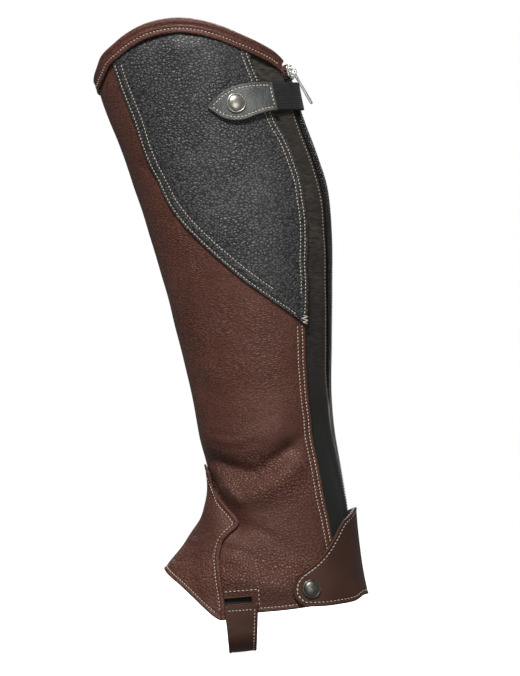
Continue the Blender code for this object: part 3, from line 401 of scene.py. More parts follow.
def moved(places, distance):
    """A line of places moved sideways on the leg, to the right of the way that it runs."""
    angle, level = places.T
    per_angle = skin(angle + 0.5, level) - skin(angle - 0.5, level)
    per_level = skin(angle, level + 0.5) - skin(angle, level - 0.5)
    ahead = np.gradient(skin(angle, level), axis=0)
    right = unit(np.cross(ahead, normals(skin, angle, level)))
    steps = [np.linalg.lstsq(np.stack(pair, axis=1), way, rcond=None)[0]
             for *pair, way in zip(per_angle, per_level, right)]
    return places + np.array(steps) * distance


def mirrored(places):
    """The same places on the inner side."""
    return np.array(places, float) * (-1, 1) + (360, 0)


def nearest(points, targets):
    """How far each point lies from the nearest target."""
    tree = KDTree(len(targets))
    for number, target in enumerate(targets):
        tree.insert(target, number)
    tree.balance()
    return np.array([tree.find(point)[2] for point in points])


def distance_to(line):
    """A function that gives how far places lie from a line of places on the leg."""
    fine = resampled(line, even(900))
    targets = skin(fine[:, 0], fine[:, 1])

    def distance(angle, level):
        points = skin(angle, level)
        return nearest(points.reshape(-1, 3), targets).reshape(np.shape(angle))

    return distance


def coons(bottom, top, left, right):
    """A grid of places that fills four border lines. bottom and top run left to right, the others upwards."""
    across = share_along(bottom)[None, :, None]
    up = share_along(left)[:, None, None]
    ruled_up = (1 - up) * bottom[None] + up * top[None]
    ruled_across = (1 - across) * left[:, None] + across * right[:, None]
    corners = (1 - up) * ((1 - across) * bottom[0] + across * bottom[-1])
    corners = corners + up * ((1 - across) * top[0] + across * top[-1])
    return ruled_up + ruled_across - corners


def rows_between(left, right, columns, near_left=(), near_right=()):
    """A grid of places between two lines. near_left and near_right give the distance of the first columns
    from those lines, where the row is wide enough for them."""
    width = np.linalg.norm(skin(*left.T) - skin(*right.T), axis=1)[:, None]
    spaced = width * even(columns)
    first, last = len(near_left), columns - 1 - len(near_right)
    at = spaced.copy()
    for column, distance in enumerate(near_left, 1):
        at[:, column] = np.minimum(distance, spaced[:, column])
    for column, distance in enumerate(near_right, 1):
        at[:, -1 - column] = np.maximum(width[:, 0] - distance, spaced[:, -1 - column])
    share = even(last - first + 1)
    at[:, first:last + 1] = at[:, [first]] * (1 - share) + at[:, [last]] * share
    share = (at / width)[:, :, None]
    return left[:, None] * (1 - share) + right[:, None] * share


def joined(grids):
    """One list of places from grids that share borders, and each grid's numbers in it."""
    index, places, numbered = {}, [], []
    for grid in grids:
        numbers = np.empty(grid.shape[:2], int)
        for cell in np.ndindex(*grid.shape[:2]):
            key = tuple(np.round(grid[cell], 3))
            if key not in index:
                index[key] = len(places)
                places.append(grid[cell])
            numbers[cell] = index[key]
        numbered.append(numbers)
    return np.array(places), numbered


def grid_quads(numbers):
    corners = (numbers[:-1, :-1], numbers[:-1, 1:], numbers[1:, 1:], numbers[1:, :-1])
    return np.stack(corners, axis=-1).reshape(-1, 4)


def zip_angle(level):
    return spline(ZIP_LINE["level"], ZIP_LINE["angle"], level)


def beside_zip(levels, distance):
    """Places this far from the zip's middle line, towards the outer side."""
    levels = np.array(levels, float)
    middle = zip_angle(levels)
    per_degree = np.linalg.norm(skin(middle + 0.5, levels) - skin(middle - 0.5, levels), axis=1)
    return np.stack([middle + distance / per_degree, levels], axis=-1)


def zip_frame(level):
    """The point on the leather's outer face at the zip, with the ways across, up along the zip, and out."""
    levels = np.array([level - 3.0, level, level + 3.0])
    below, middle, above = leg(zip_angle(levels), levels)
    along = unit(above - below)
    out = normals(leg, zip_angle(levels), levels)[1]
    out = unit(out - along * np.dot(out, along))
    return middle, np.cross(along, out), along, out


def top_line(count, opening=OPENING_EDGE):
    """The cuff's top edge, from the zip round the outer side, the front and the inner side to the zip."""
    outer_level, inner_level = level_at(zip_angle(SLIDER_LEVEL), TOP_EDGE_AT_ZIP)
    start = beside_zip([outer_level], opening)
    end = beside_zip([inner_level], -OPENING_EDGE) + (360, 0)
    return resampled(np.concatenate([start, on_leg(TOP_EDGE), at_angles(TOP_EDGE_INNER), end]), even(count))


def make_panel_top():
    edge = top_line(160)
    edge = np.concatenate([[4 * edge[0] - 3 * edge[4]], edge, [4 * edge[-1] - 3 * edge[-5]]])
    lowered = moved(edge, -PANEL_TOP)
    order = np.argsort(lowered[:, 0])
    return lambda angle: np.interp(angle, lowered[order, 0], lowered[order, 1])


# The level at which the panels end inside the cuff
panel_top = make_panel_top()


def trimmed(places, shares):
    """A line of places running upwards, ended where the panels end inside the cuff."""
    fine = resampled(places, even(400))
    room = panel_top(fine[:, 0]) - fine[:, 1]
    last = int(np.argmax(room < 0)) if (room < 0).any() else len(fine) - 1
    share = room[last - 1] / (room[last - 1] - room[last]) if room[last] < 0 else 1.0
    end = fine[last - 1] * (1 - share) + fine[last] * share
    return resampled(np.concatenate([fine[:last], [end]]), shares)


def top_border(start, end, shares):
    border = start + np.multiply.outer(shares, np.array(end) - start)
    border[1:-1, 1] = panel_top(border[1:-1, 0])
    return border


def hem_border(start, end, shares, hem):
    """A line along the hem between two places, from a full line of the hem."""
    inside = [row for row in hem if start[0] + 2 < row[0] < end[0] - 2]
    return resampled(np.concatenate([[start], inside, [end]]), shares)


CALF_FRONT_LINE = resampled(on_leg(CALF_PANEL_FRONT), even(60))
CALF_BACK_LINE = resampled(on_leg(CALF_PANEL_BACK), even(60))
BACK_SEAM = np.concatenate([on_leg(LEG_BACK)[:-1], on_leg(CALF_PANEL_BACK)[1:]])
INSTEP_SIDE = resampled(np.concatenate([on_leg(INSTEP_BACK), INSTEP_TOP[:2]]), even(40))
calf_front_distance = distance_to(CALF_FRONT_LINE)
calf_back_distance = distance_to(CALF_BACK_LINE)
leg_back_distance = distance_to(on_leg(LEG_BACK))
ZIP_LEVELS = np.linspace(ZIP_LINE["level"][0], ZIP_LINE["level"][-1], 150)
gusset_zip_distance = distance_to(beside_zip(ZIP_LEVELS, OPENING_EDGE))
leg_zip_distance = distance_to(beside_zip(ZIP_LEVELS, -OPENING_EDGE) + (360, 0))
instep_distance = distance_to(np.concatenate([INSTEP_SIDE, mirrored(INSTEP_SIDE)[-2::-1]]))
hem_distance = distance_to(np.concatenate([on_leg(HEM_BACK)[:-1], mirrored(on_leg(HEM_BACK))[-2::-1]]))
FRONT_HEM = np.concatenate([on_leg(HEM_FRONT), at_angles([HEM_APEX]), mirrored(on_leg(HEM_FRONT))[::-1]])
front_hem_distance = distance_to(FRONT_HEM)


def calf_inner(angle, level):
    """The calf panel lies level with the main leather, and over it along its front seam."""
    lap = 1 - smoothstep(*CALF_RAMP, calf_front_distance(angle, level))
    return -PANEL_LEATHER + lap * (PANEL_LEATHER + LAP_GAP)


def gusset_inner(angle, level):
    """The stretch gusset lies on the zip's tape, and beneath the leather away from it."""
    on_tape = TAPE_OUTER + SEAM_GAP
    beneath = -LEATHER - 1.2 * LAP_GAP - STRETCH_CLOTH
    away = smoothstep(*GUSSET_LIP, gusset_zip_distance(angle, level))
    return on_tape + away * (beneath - on_tape)


def instep_inner(angle, level):
    """The instep panel lies level with the main leather, and over it along its seams."""
    lap = 1 - smoothstep(*INSTEP_RAMP, instep_distance(angle, level))
    return -PANEL_LEATHER + lap * (PANEL_LEATHER + LAP_GAP)


class Shader:
    """A material's node tree, with short calls for the nodes used here."""

    def __init__(self, name):
        self.material = bpy.data.materials.new(name)
        self.material.use_nodes = True
        self.tree = self.material.node_tree
        self.surface = self.tree.nodes["Principled BSDF"]

    def put(self, socket, value):
        if isinstance(value, bpy.types.NodeSocket):
            self.tree.links.new(value, socket)
        elif isinstance(value, tuple) and len(value) == 3 and socket.type == "RGBA":
            socket.default_value = (*value, 1.0)
        else:
            socket.default_value = value

    def node(self, kind, output=0, settings=None, **inputs):
        made = self.tree.nodes.new(kind)
        for key, value in (settings or {}).items():
            setattr(made, key, value)
        for key, value in inputs.items():
            self.put(made.inputs[int(key[1:]) if key[0] == "_" else key.replace("_", " ")], value)
        return made.outputs[output]

    def math(self, operation, first, second=0.0):
        return self.node("ShaderNodeMath", 0, {"operation": operation}, _0=first, _1=second)

    def ramp(self, value, low, high, to_low=0.0, to_high=1.0):
        """A value's smooth step between two limits."""
        return self.node("ShaderNodeMapRange", 0, {"interpolation_type": "SMOOTHSTEP"}, _0=value, _1=low,
                         _2=high, _3=to_low, _4=to_high)

    def mix(self, share, first, second):
        return self.node("ShaderNodeMix", 2, {"data_type": "RGBA"}, _0=share, _6=first, _7=second)

    def blend(self, share, first, second):
        return self.node("ShaderNodeMix", 0, {"data_type": "FLOAT"}, _0=share, _2=first, _3=second)

    def place(self, scale=(1, 1, 1)):
        """The position on the object, in units of a metre divided by scale."""
        at = self.node("ShaderNodeTexCoord", 3)
        return self.node("ShaderNodeMapping", 0, None, Vector=at, Scale=scale)

    def noise(self, scale, detail=3.0, at=None, output=0, roughness=0.5):
        return self.node("ShaderNodeTexNoise", output, None, Vector=at or self.place(), Scale=scale,
                         Detail=detail, Roughness=roughness)

    def cells(self, at, scale, feature="DISTANCE_TO_EDGE"):
        return self.node("ShaderNodeTexVoronoi", 0, {"feature": feature}, Vector=at, Scale=scale)

    def height(self):
        """The position's height, in metres."""
        return self.node("ShaderNodeSeparateXYZ", 2, None, _0=self.place())

    def finish(self, colour, roughness, height=None, depth=0.0003, **constants):
        self.put(self.surface.inputs["Base Color"], colour)
        self.put(self.surface.inputs["Roughness"], roughness)
        for name, value in constants.items():
            self.surface.inputs[name.replace("_", " ")].default_value = value
        if height is not None:
            bumped = self.node("ShaderNodeBump", 0, None, Strength=1.0, Distance=depth, Height=height)
            self.put(self.surface.inputs["Normal"], bumped)
        return self.material


def pebbled_leather(name, colour, valley, light, grain, depth, roughness, fine=0.05, stretched=None, bands=(),
                    tint=(1.0, 1.0, 1.0, 1.0), foot=None):
    """Leather with a grain of round cells between narrow valleys. grain is the cells' size in millimetres and
    fine the share of smaller cells. Where stretched gives two heights, the cells between them are drawn out
    sideways into wrinkles. Where bands gives pairs of heights, the leather has been bent between them: its
    grain is open and polished there, and closed and duller elsewhere. Below the heights of foot and outside
    the bands, the leather is darkened by foot's last value: this is painted shade on the lower leg. tint
    colours the gloss."""
    make = Shader(name)
    wobble = make.noise(260.0, 2.0, output=1)
    shifted = make.node("ShaderNodeVectorMath", 0, {"operation": "MULTIPLY_ADD"}, _0=wobble,
                        _1=(grain * 0.0011,) * 3, _2=make.place((1.0, 1.0, 1.35)))
    domes = make.ramp(make.cells(shifted, 1000 / grain, "F1"), 0.0, 0.85, 1.0, 0.0)
    valleys = make.ramp(make.cells(shifted, 1000 / grain), 0.0, 0.22)
    small_cells = make.ramp(make.cells(shifted, 1900 / grain), 0.0, 0.34)
    pebble = make.math("ADD", make.math("MULTIPLY", domes, 0.64 - fine), make.math("MULTIPLY", valleys, 0.36))
    pebble = make.math("ADD", pebble, make.math("MULTIPLY", small_cells, fine))
    if stretched:
        drawn = make.node("ShaderNodeVectorMath", 0, {"operation": "MULTIPLY"}, _0=shifted, _1=(0.55, 0.55, 1.45))
        wrinkles = make.ramp(make.cells(drawn, 1000 / grain), 0.0, 0.34)
        low, high, ramp = stretched
        share = make.math("MULTIPLY", make.ramp(make.height(), low - ramp, low + ramp),
                          make.ramp(make.height(), high - ramp, high + ramp, 1.0, 0.0))
        patchy = make.math("MULTIPLY", share, make.ramp(make.noise(26.0), 0.30, 0.60))
        pebble = make.blend(patchy, pebble, wrinkles)
    firmness = make.ramp(make.noise(30.0, 2.0), 0.34, 0.64, 0.40, 1.0)
    opened = 0.0
    for low, high, ramp in bands:
        share = make.math("MULTIPLY", make.ramp(make.height(), low - ramp, low + ramp),
                          make.ramp(make.height(), high - ramp, high + ramp, 1.0, 0.0))
        opened = make.math("MAXIMUM", opened, share)
    if bands:
        firmness = make.blend(opened, make.math("MULTIPLY", firmness, 0.62), 1.0)
    grained = make.math("MULTIPLY", pebble, firmness)
    pores = make.noise(2600.0, 2.0)
    relief = make.math("ADD", grained, make.math("MULTIPLY", pores, 0.10))
    relief = make.math("ADD", relief, make.math("MULTIPLY", make.noise(90.0, 3.0), 0.9))
    broad = make.mix(make.ramp(make.noise(11.0, 3.0), 0.30, 0.70), colour, light)
    toned = make.mix(make.ramp(pebble, 0.05, 0.75), valley, broad)
    # Painted shade: below the heights of foot the leather is darkened towards its valley colour, except in the bent
    # bands
    if foot:
        low, high, share = foot
        painted_foot_shade = make.math("MULTIPLY", make.ramp(make.height(), low, high, 1.0, 0.0),
                           make.ramp(opened, 0.0, 1.0, share, 0.0))
        toned = make.mix(painted_foot_shade, toned, valley)
    worn = make.blend(make.ramp(pebble, 0.2, 0.95), min(roughness + 0.16, 1.0), roughness)
    mottled = make.math("ADD", worn, make.math("MULTIPLY", make.noise(60.0, 3.0), 0.08))
    if bands:
        mottled = make.math("ADD", mottled, make.ramp(opened, 0.0, 1.0, 0.09, 0.0))
    return make.finish(toned, mottled, relief, depth * METRES, Specular_Tint=tint)


def smooth_leather(name, colour, light, roughness, depth=0.08, creases=0.0, smoke=0.35, **constants):
    """Leather with a fine even grain, and wavering crease marks where asked."""
    make = Shader(name)
    fine = make.ramp(make.cells(make.place(), 1500.0), 0.0, 0.3)
    relief = make.math("ADD", fine, make.math("MULTIPLY", make.noise(160.0, 4.0), 1.1))
    streaks = make.noise(70.0, 4.0, at=make.place((1.0, 1.0, 0.35)), roughness=0.6)
    if creases:
        line = make.ramp(make.math("ABSOLUTE", make.math("SUBTRACT", streaks, 0.5)), 0.0, 0.035)
        relief = make.math("ADD", relief, make.math("MULTIPLY", line, creases))
    broad = make.mix(make.ramp(make.noise(24.0, 4.0), 0.3, 0.7), colour, light)
    toned = make.mix(make.ramp(streaks, 0.35, 0.65, 0.0, smoke), broad, colour)
    worn = make.ramp(make.noise(48.0, 4.0), 0.25, 0.75, roughness - 0.06, roughness + 0.08)
    return make.finish(toned, worn, relief, depth * METRES, **constants)


def suede(name, colour, light):
    """The leather's flesh side."""
    make = Shader(name)
    nap = make.noise(700.0, 4.0)
    toned = make.mix(make.ramp(make.noise(60.0, 4.0), 0.3, 0.7), colour, light)
    return make.finish(toned, 0.95, nap, 0.25 * METRES, Sheen_Weight=0.1, Specular_IOR_Level=0.3)


def woven(name, colour, light, thread, depth, roughness=0.85, low=None, fade=None):
    """A close plain weave. thread is its pitch in millimetres. low is a darker colour that it turns to towards the
    bottom, between the heights of fade.
    """
    make = Shader(name)
    at = make.place()
    knit = make.cells(at, 1000 / thread, "F1")
    slub = make.noise(240.0, 3.0, at=make.place((0.6, 0.6, 2.6)))
    relief = make.math("SUBTRACT", make.math("MULTIPLY", slub, 1.2), knit)
    toned = make.mix(make.ramp(slub, 0.3, 0.7), colour, light)
    toned = make.mix(make.ramp(make.noise(18.0, 3.0), 0.35, 0.7, 0.0, 0.6), toned, colour)
    if low:
        toned = make.mix(make.ramp(make.height(), fade[0], fade[1], 1.0, 0.0), toned, low)
    return make.finish(toned, roughness, relief, depth * METRES, Sheen_Weight=0.04, Sheen_Roughness=0.5,
                       Specular_IOR_Level=0.3)


def metal(name, colour, shade, roughness, tarnish=0.5):
    make = Shader(name)
    mottle = make.ramp(make.noise(420.0, 5.0, roughness=0.65), 0.35, 0.75, 0.0, tarnish)
    toned = make.mix(mottle, colour, shade)
    scuffs = make.ramp(make.noise(260.0, 4.0), 0.3, 0.8, roughness - 0.02, roughness + 0.08)
    return make.finish(toned, scuffs, make.noise(500.0, 3.0), 0.004 * METRES, Metallic=1.0)


def plain(name, colour, light, roughness, scale=400.0, depth=0.05):
    make = Shader(name)
    grain = make.noise(scale, 3.0)
    toned = make.mix(make.ramp(grain, 0.35, 0.65), colour, light)
    return make.finish(toned, roughness, grain, depth * METRES)


def thread_finish(name, colour, shade):
    """Waxed thread, with the turns of its plies across it."""
    make = Shader(name)
    plies = make.noise(1500.0, 2.0)
    toned = make.mix(make.ramp(make.noise(300.0, 2.0), 0.3, 0.7), colour, shade)
    return make.finish(toned, 0.6, plies, 0.12 * METRES)


FINISHES = {
    # brown_leather's last tuple, foot, darkens the lower leg with painted shade
    "brown_leather": pebbled_leather("brown_leather", (0.098, 0.035, 0.024), (0.052, 0.017, 0.011),
                                     (0.124, 0.045, 0.031), 2.3, 0.62, 0.31, 0.10, (-0.16, 0.01, 0.05),
                                     ((-0.240, -0.206, 0.010), (-0.306, -0.282, 0.008)), (1.0, 0.80, 0.70, 1.0),
                                     (-0.19, -0.15, 0.48)),
    "cuff_leather": pebbled_leather("cuff_leather", (0.102, 0.034, 0.024), (0.056, 0.018, 0.013),
                                    (0.130, 0.045, 0.032), 2.0, 0.40, 0.38, tint=(1.0, 0.85, 0.78, 1.0)),
    "black_leather": pebbled_leather("black_leather", (0.042, 0.042, 0.042), (0.007, 0.007, 0.007),
                                     (0.056, 0.056, 0.056), 2.6, 0.80, 0.33),
    "smooth_brown_leather": smooth_leather("smooth_brown_leather", (0.043, 0.0175, 0.0125),
                                           (0.060, 0.025, 0.0175), 0.50, Specular_IOR_Level=0.35,
                                           Specular_Tint=(1.0, 0.78, 0.66, 1.0)),
    # The tab leather's light grey is partly painted sheen: its colours are raised to stand in for the gloss on leather
    # facing the light; its smoky streaks are its own mottling
    "black_tab_leather": smooth_leather("black_tab_leather", (0.048, 0.050, 0.050), (0.135, 0.138, 0.136),
                                        0.36, 0.10, creases=1.0, smoke=0.75),
    "leather_back": suede("leather_back", (0.040, 0.027, 0.020), (0.065, 0.045, 0.034)),
    "black_leather_back": suede("black_leather_back", (0.020, 0.020, 0.021), (0.034, 0.034, 0.035)),
    "stretch_cloth": woven("stretch_cloth", (0.014, 0.0112, 0.0080), (0.056, 0.046, 0.035), 0.8, 0.22,
                           low=(0.0100, 0.0098, 0.0090), fade=(-0.21, -0.07)),
    "black_elastic": woven("black_elastic", (0.010, 0.010, 0.011), (0.020, 0.020, 0.021), 0.6, 0.10),
    "zip_tape": woven("zip_tape", (0.010, 0.010, 0.011), (0.020, 0.020, 0.021), 0.5, 0.10),
    "zip_coil": plain("zip_coil", (0.022, 0.022, 0.023), (0.040, 0.040, 0.041), 0.26),
    "bright_nickel": metal("bright_nickel", (0.92, 0.91, 0.88), (0.74, 0.72, 0.68), 0.34, 0.25),
    # antique_nickel and the copy below it are one metal: the heel snap's copy is darkened with painted shade, and
    # antique_nickel is lightened a little with a painted highlight for the top snap
    "antique_nickel": metal("antique_nickel", (0.54, 0.52, 0.45), (0.22, 0.205, 0.165), 0.28, 0.7),
    "shaded_antique_nickel": metal("shaded_antique_nickel", (0.19, 0.183, 0.16), (0.062, 0.058, 0.050), 0.36, 0.8),
    "cream_thread": thread_finish("cream_thread", (0.66, 0.58, 0.47), (0.50, 0.42, 0.33)),
    "tan_thread": thread_finish("tan_thread", (0.46, 0.34, 0.23), (0.32, 0.23, 0.15)),
}


def add_piece(name, points, faces, finishes, numbers=None, body="root", replaces=()):
    """A smooth-shaded mesh piece from points in millimetres, its faces turned to point out."""
    points = np.asarray(points, float)
    triangle = np.array([face[:3] for face in faces])
    corner = points[triangle]
    middle = corner.mean(axis=1) - points.mean(axis=0)
    if len({len(face) for face in faces}) == 1 and len(faces[0]) == 4:
        other = points[np.array(faces)[:, [0, 2, 3]]]
        volume = np.einsum("ij,ij->", corner[:, 0], np.cross(corner[:, 1], corner[:, 2]))
        volume += np.einsum("ij,ij->", other[:, 0], np.cross(other[:, 1], other[:, 2]))
    else:
        volume = np.einsum("ij,ij->", middle, np.cross(corner[:, 1] - corner[:, 0], corner[:, 2] - corner[:, 0]))
    if volume < 0:
        faces = [tuple(face[::-1]) for face in faces]
    mesh = bpy.data.meshes.new(name)
    mesh.from_pydata((points * METRES).tolist(), [], [tuple(int(i) for i in face) for face in faces])
    for finish in finishes:
        mesh.materials.append(FINISHES[finish])
    if numbers is not None:
        mesh.polygons.foreach_set("material_index", numbers)
    mesh.shade_smooth()
    return settle(bpy.data.objects.new(name, mesh), body, replaces)


def settle(thing, body="root", replaces=()):
    """Link a piece, and say what it rides on and what it replaces."""
    if thing.name not in bpy.context.scene.collection.objects:
        bpy.context.scene.collection.objects.link(thing)
    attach(thing, body)
    if replaces:
        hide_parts(*replaces)
    return thing


def rim_edges(quads):
    edges = {(a, b) for quad in quads.tolist() for a, b in zip(quad, quad[1:] + quad[:1])}
    return sorted((a, b) for a, b in edges if (b, a) not in edges)


def wall(name, inner, outer, numbered, finishes, relief=0.0, replaces=(), rim_round=RIM_ROUND):
    """A closed shell between two faces, with a rounded rim. finishes are the outer face's, the inner face's and
    the rim's. Returns the piece, and each grid's outer points with the ways out of them."""
    quads = np.concatenate([grid_quads(numbers) for numbers in numbered])
    rim = rim_edges(quads)
    thickness = np.linalg.norm(outer - inner, axis=1, keepdims=True)
    way = (outer - inner) / thickness
    share = np.linspace(0, 1, 8, endpoint=False)[:, None]
    border = np.concatenate([outer[a] * (1 - share) + outer[b] * share for a, b in rim])
    edge = nearest(outer, border)[:, None]
    radius = rim_round * thickness
    inside = np.clip(1 - edge / radius, 0, 1)
    drop = radius * (1 - np.sqrt(1 - inside**2))
    outer = outer + way * (np.reshape(relief, (-1, 1)) - drop)
    inner = inner + way * drop
    count = len(outer)
    faces = quads.tolist() + (quads[:, ::-1] + count).tolist()
    faces += [[b, a, a + count, b + count] for a, b in rim]
    numbers = np.repeat([0, 1, 2], [len(quads), len(quads), len(rim)])
    made = add_piece(name, np.concatenate([outer, inner]), faces, finishes, numbers, replaces=replaces)
    sewn = np.concatenate([outer, way], axis=1)
    return made, [sewn[numbers] for numbers in numbered]


def cloth(name, grids, inner_out, thickness, finishes, relief=None, replaces=(), surface=leg):
    """A cut piece on the leg, from grids of places. inner_out and relief are functions of places."""
    places, numbered = joined(grids)
    angle, level = places.T
    inner = inner_out(angle, level) if callable(inner_out) else np.full(len(places), inner_out)
    raised = relief(angle, level) if relief else np.zeros(len(places))
    return wall(name, place(angle, level, inner, surface), place(angle, level, inner + thickness, surface),
                numbered, finishes, raised, replaces)


def stitched_dips(edge, rows, depth=0.28, width=0.75):
    """The leather drawn down along rows of sewing."""
    return -depth * sum(hump(edge, row, width) for row in rows)


def unevenness(points, rise, reach, seed):
    """Gentle hand-made unevenness: a few long waves in set directions."""
    draw = np.random.default_rng(SEED + seed)
    ways = draw.normal(size=(6, 3))
    ways /= np.linalg.norm(ways, axis=1, keepdims=True)
    phases = draw.uniform(0, 2 * np.pi, 6)
    lengths = reach * draw.uniform(0.7, 1.5, 6)
    return rise * sum(np.sin(points @ way * 2 * np.pi / length + phase)
                      for way, length, phase in zip(ways, lengths, phases)) / 3


def leg_relief(angle, level):
    edge_back, edge_hem = leg_back_distance(angle, level), hem_distance(angle, level)
    edge_zip = leg_zip_distance(angle, level)
    relief = stitched_dips(edge_back, LEG_BACK_ROWS) + stitched_dips(edge_hem, (HEM_ROW,))
    relief += stitched_dips(edge_zip, (GUSSET_ROW,))
    relief += 0.22 * (hump(edge_back, 5.0, 1.0) + hump(edge_back, 1.2, 0.8) + hump(edge_hem, 1.3, 0.9))
    return relief + unevenness(skin(angle, level), 0.22, 26.0, 1)


def leg_panel():
    """The main leather: round the front from the outer back seam to the zip, open over the instep."""
    notch = np.array(LEG_INSTEP_TOP[-1], float)
    columns = stepped(165, 78, SEAM_STEPS)
    inner_columns = 1 - columns[::-1]
    low_rows, high_rows = stepped(105, 48, SEAM_STEPS), even(150)
    hem = on_leg(HEM_BACK)
    seam = resampled(on_leg(LEG_BACK), even(120))
    split = int(np.searchsorted(seam[:, 1], notch[1] - 3))
    lap = moved(CALF_FRONT_LINE, LAP)
    edge_of_calf = np.interp(lap[:, 1], CALF_BACK_LINE[:, 1], CALF_BACK_LINE[:, 0])
    lap[:, 0] = np.maximum(lap[:, 0], edge_of_calf + 1.2)
    lap = lap[lap[:, 1] > seam[-1, 1] + 2]
    outer_back = trimmed(np.concatenate([seam[split:-2:6], lap]), high_rows)
    front = resampled([notch, (180, -180), (180, -100), (180, 0), (180, panel_top(180.0))], high_rows)
    instep = resampled(np.concatenate([on_leg(LEG_INSTEP), LEG_INSTEP_TOP]), low_rows)
    low_levels = np.linspace(CHAIN_BOTTOM - 6, notch[1] - 3, 30)
    inner_low = resampled(beside_zip(low_levels, -OPENING_EDGE) + (360, 0), low_rows)
    high_levels = np.linspace(low_levels[-1], 90, 60)
    inner_back = trimmed(beside_zip(high_levels, -OPENING_EDGE) + (360, 0), high_rows)
    middle_outer = resampled([seam[split], (120, notch[1] - 4), notch], columns)
    middle_inner = resampled([notch, (240, notch[1] - 4), inner_low[-1]], inner_columns)
    outer_low = resampled(seam[:split + 1], low_rows)
    inner_instep = mirrored(instep)
    inner_hem = hem_border(inner_instep[0], inner_low[0], inner_columns, mirrored(hem)[::-1])
    grids = [
        coons(hem_border(hem[0], instep[0], columns, hem), middle_outer, outer_low, instep),
        coons(middle_outer, top_border(outer_back[-1], front[-1], columns), outer_back, front),
        coons(inner_hem, middle_inner, inner_instep, inner_low),
        coons(middle_inner, top_border(front[-1], inner_back[-1], inner_columns), front, inner_back),
    ]
    finishes = ("brown_leather", "leather_back", "brown_leather")
    made, sewn = cloth("main_leather", grids, -LEATHER, LEATHER, finishes, leg_relief, ("leg_panel",))
    cut_windows(made)
    return made, sewn


def window_frame():
    slope = np.radians(WINDOW["slope"])
    across, along = (np.cos(slope), 0, np.sin(slope)), (-np.sin(slope), 0, np.cos(slope))
    return frame_matrix((WINDOW["x"], 0, WINDOW["z"]), across, along, (0, -1, 0))


def frame_matrix(centre, across, along, out):
    matrix = Matrix.Identity(4)
    for column, axis in enumerate((across, along, out)):
        for row in range(3):
            matrix[row][column] = axis[row]
    for row in range(3):
        matrix[row][3] = centre[row] * METRES
    return matrix


def block_mesh(name, size, bevel, segments=2):
    work = bmesh.new()
    bmesh.ops.create_cube(work, size=1.0)
    bmesh.ops.scale(work, vec=[side * METRES for side in size], verts=work.verts)
    bmesh.ops.bevel(work, geom=work.edges[:], offset=bevel * METRES, segments=segments, affect="EDGES",
                    profile=0.5)
    mesh = bpy.data.meshes.new(name)
    work.to_mesh(mesh)
    work.free()
    return mesh


def cut(thing, cutter_mesh, matrix):
    """Cut a block out of a piece, and keep the result as its mesh."""
    cutter = bpy.data.objects.new("cutter", cutter_mesh)
    bpy.context.scene.collection.objects.link(cutter)
    cutter.matrix_world = matrix
    step = thing.modifiers.new("cut", "BOOLEAN")
    step.operation = "DIFFERENCE"
    step.object = cutter
    bpy.context.view_layer.update()
    evaluated = thing.evaluated_get(bpy.context.evaluated_depsgraph_get())
    result = bpy.data.meshes.new_from_object(evaluated)
    thing.modifiers.clear()
    old, thing.data = thing.data, result
    bpy.data.meshes.remove(old)
    bpy.data.objects.remove(cutter, do_unlink=True)


def cut_windows(made):
    size = (WINDOW["length"], WINDOW["height"], 140.0)
    cut(made, block_mesh("window_cutter", size, 1.2, 4), window_frame())


def calf_relief(angle, level):
    front, back = calf_front_distance(angle, level), calf_back_distance(angle, level)
    relief = stitched_dips(front, CALF_FRONT_ROWS) + stitched_dips(back, CALF_BACK_ROWS)
    relief += 0.25 * (hump(front, 5.0, 1.8) + hump(back, 5.0, 1.2))
    return relief + unevenness(skin(angle, level), 0.16, 30.0, 2)


def calf_panel():
    """The grained panel on the outer side of the calf, a long point at its lower end."""
    rows = stepped(300, 150, RIM_STEPS)
    grid = rows_between(trimmed(CALF_BACK_LINE, rows), trimmed(CALF_FRONT_LINE, rows), 96,
                        near_left=SEAM_STEPS, near_right=(*SEAM_STEPS, 11.3, 13.2, 15.2, 17.2, 19.4))
    grid[-1, :, 1] = panel_top(grid[-1, :, 0])
    finishes = ("black_leather", "black_leather_back", "black_leather")
    return cloth("calf_leather", [grid], calf_inner, PANEL_LEATHER, finishes, calf_relief, ("calf_panel",))


def gusset_relief(angle, level):
    edge = gusset_zip_distance(angle, level)
    return stitched_dips(edge, (GUSSET_ROW,), 0.2) + unevenness(skin(angle, level), 0.35, 34.0, 3)


def stretch_gusset():
    """The stretch cloth strip between the outer back seam and the zip."""
    rows = even(210)
    seam = resampled(BACK_SEAM, even(90))
    beneath = moved(seam, -LAP)
    levels = np.linspace(CHAIN_BOTTOM - 3, 95, 60)
    zip_side = trimmed(beside_zip(levels, OPENING_EDGE), rows)
    leather_side = trimmed(beneath[skin(*beneath.T)[:, 2] > GUSSET_BOTTOM], rows)
    grid = rows_between(zip_side, leather_side, 40, near_left=(*RIM_STEPS, 2.4, 3.4, 5.0, 7.0, 9.5, 12.0))
    grid[-1, :, 1] = panel_top(grid[-1, :, 0])
    finishes = ("stretch_cloth", "stretch_cloth", "stretch_cloth")
    return cloth("gusset_cloth", [grid], gusset_inner, STRETCH_CLOTH, finishes, gusset_relief, ("stretch_gusset",))


def zip_tapes():
    made = []
    for name, side in (("zip_tape_outer", 1), ("zip_tape_inner", -1)):
        levels = np.linspace(CHAIN_BOTTOM, 90, 60)
        turn = 0 if side > 0 else 360
        near, far = (trimmed(beside_zip(levels, side * edge) + (turn, 0), even(160)) for edge in TAPE_EDGES)
        ends = (near, far) if side > 0 else (far, near)
        grid = rows_between(*ends, 14, near_left=RIM_STEPS[:3], near_right=RIM_STEPS[:3])
        made.append(cloth(name.replace("zip_tape", "tape"), [grid], TAPE_OUTER - TAPE_CLOTH, TAPE_CLOTH,
                          ("zip_tape",) * 3, None, (name,))[0])
    return made


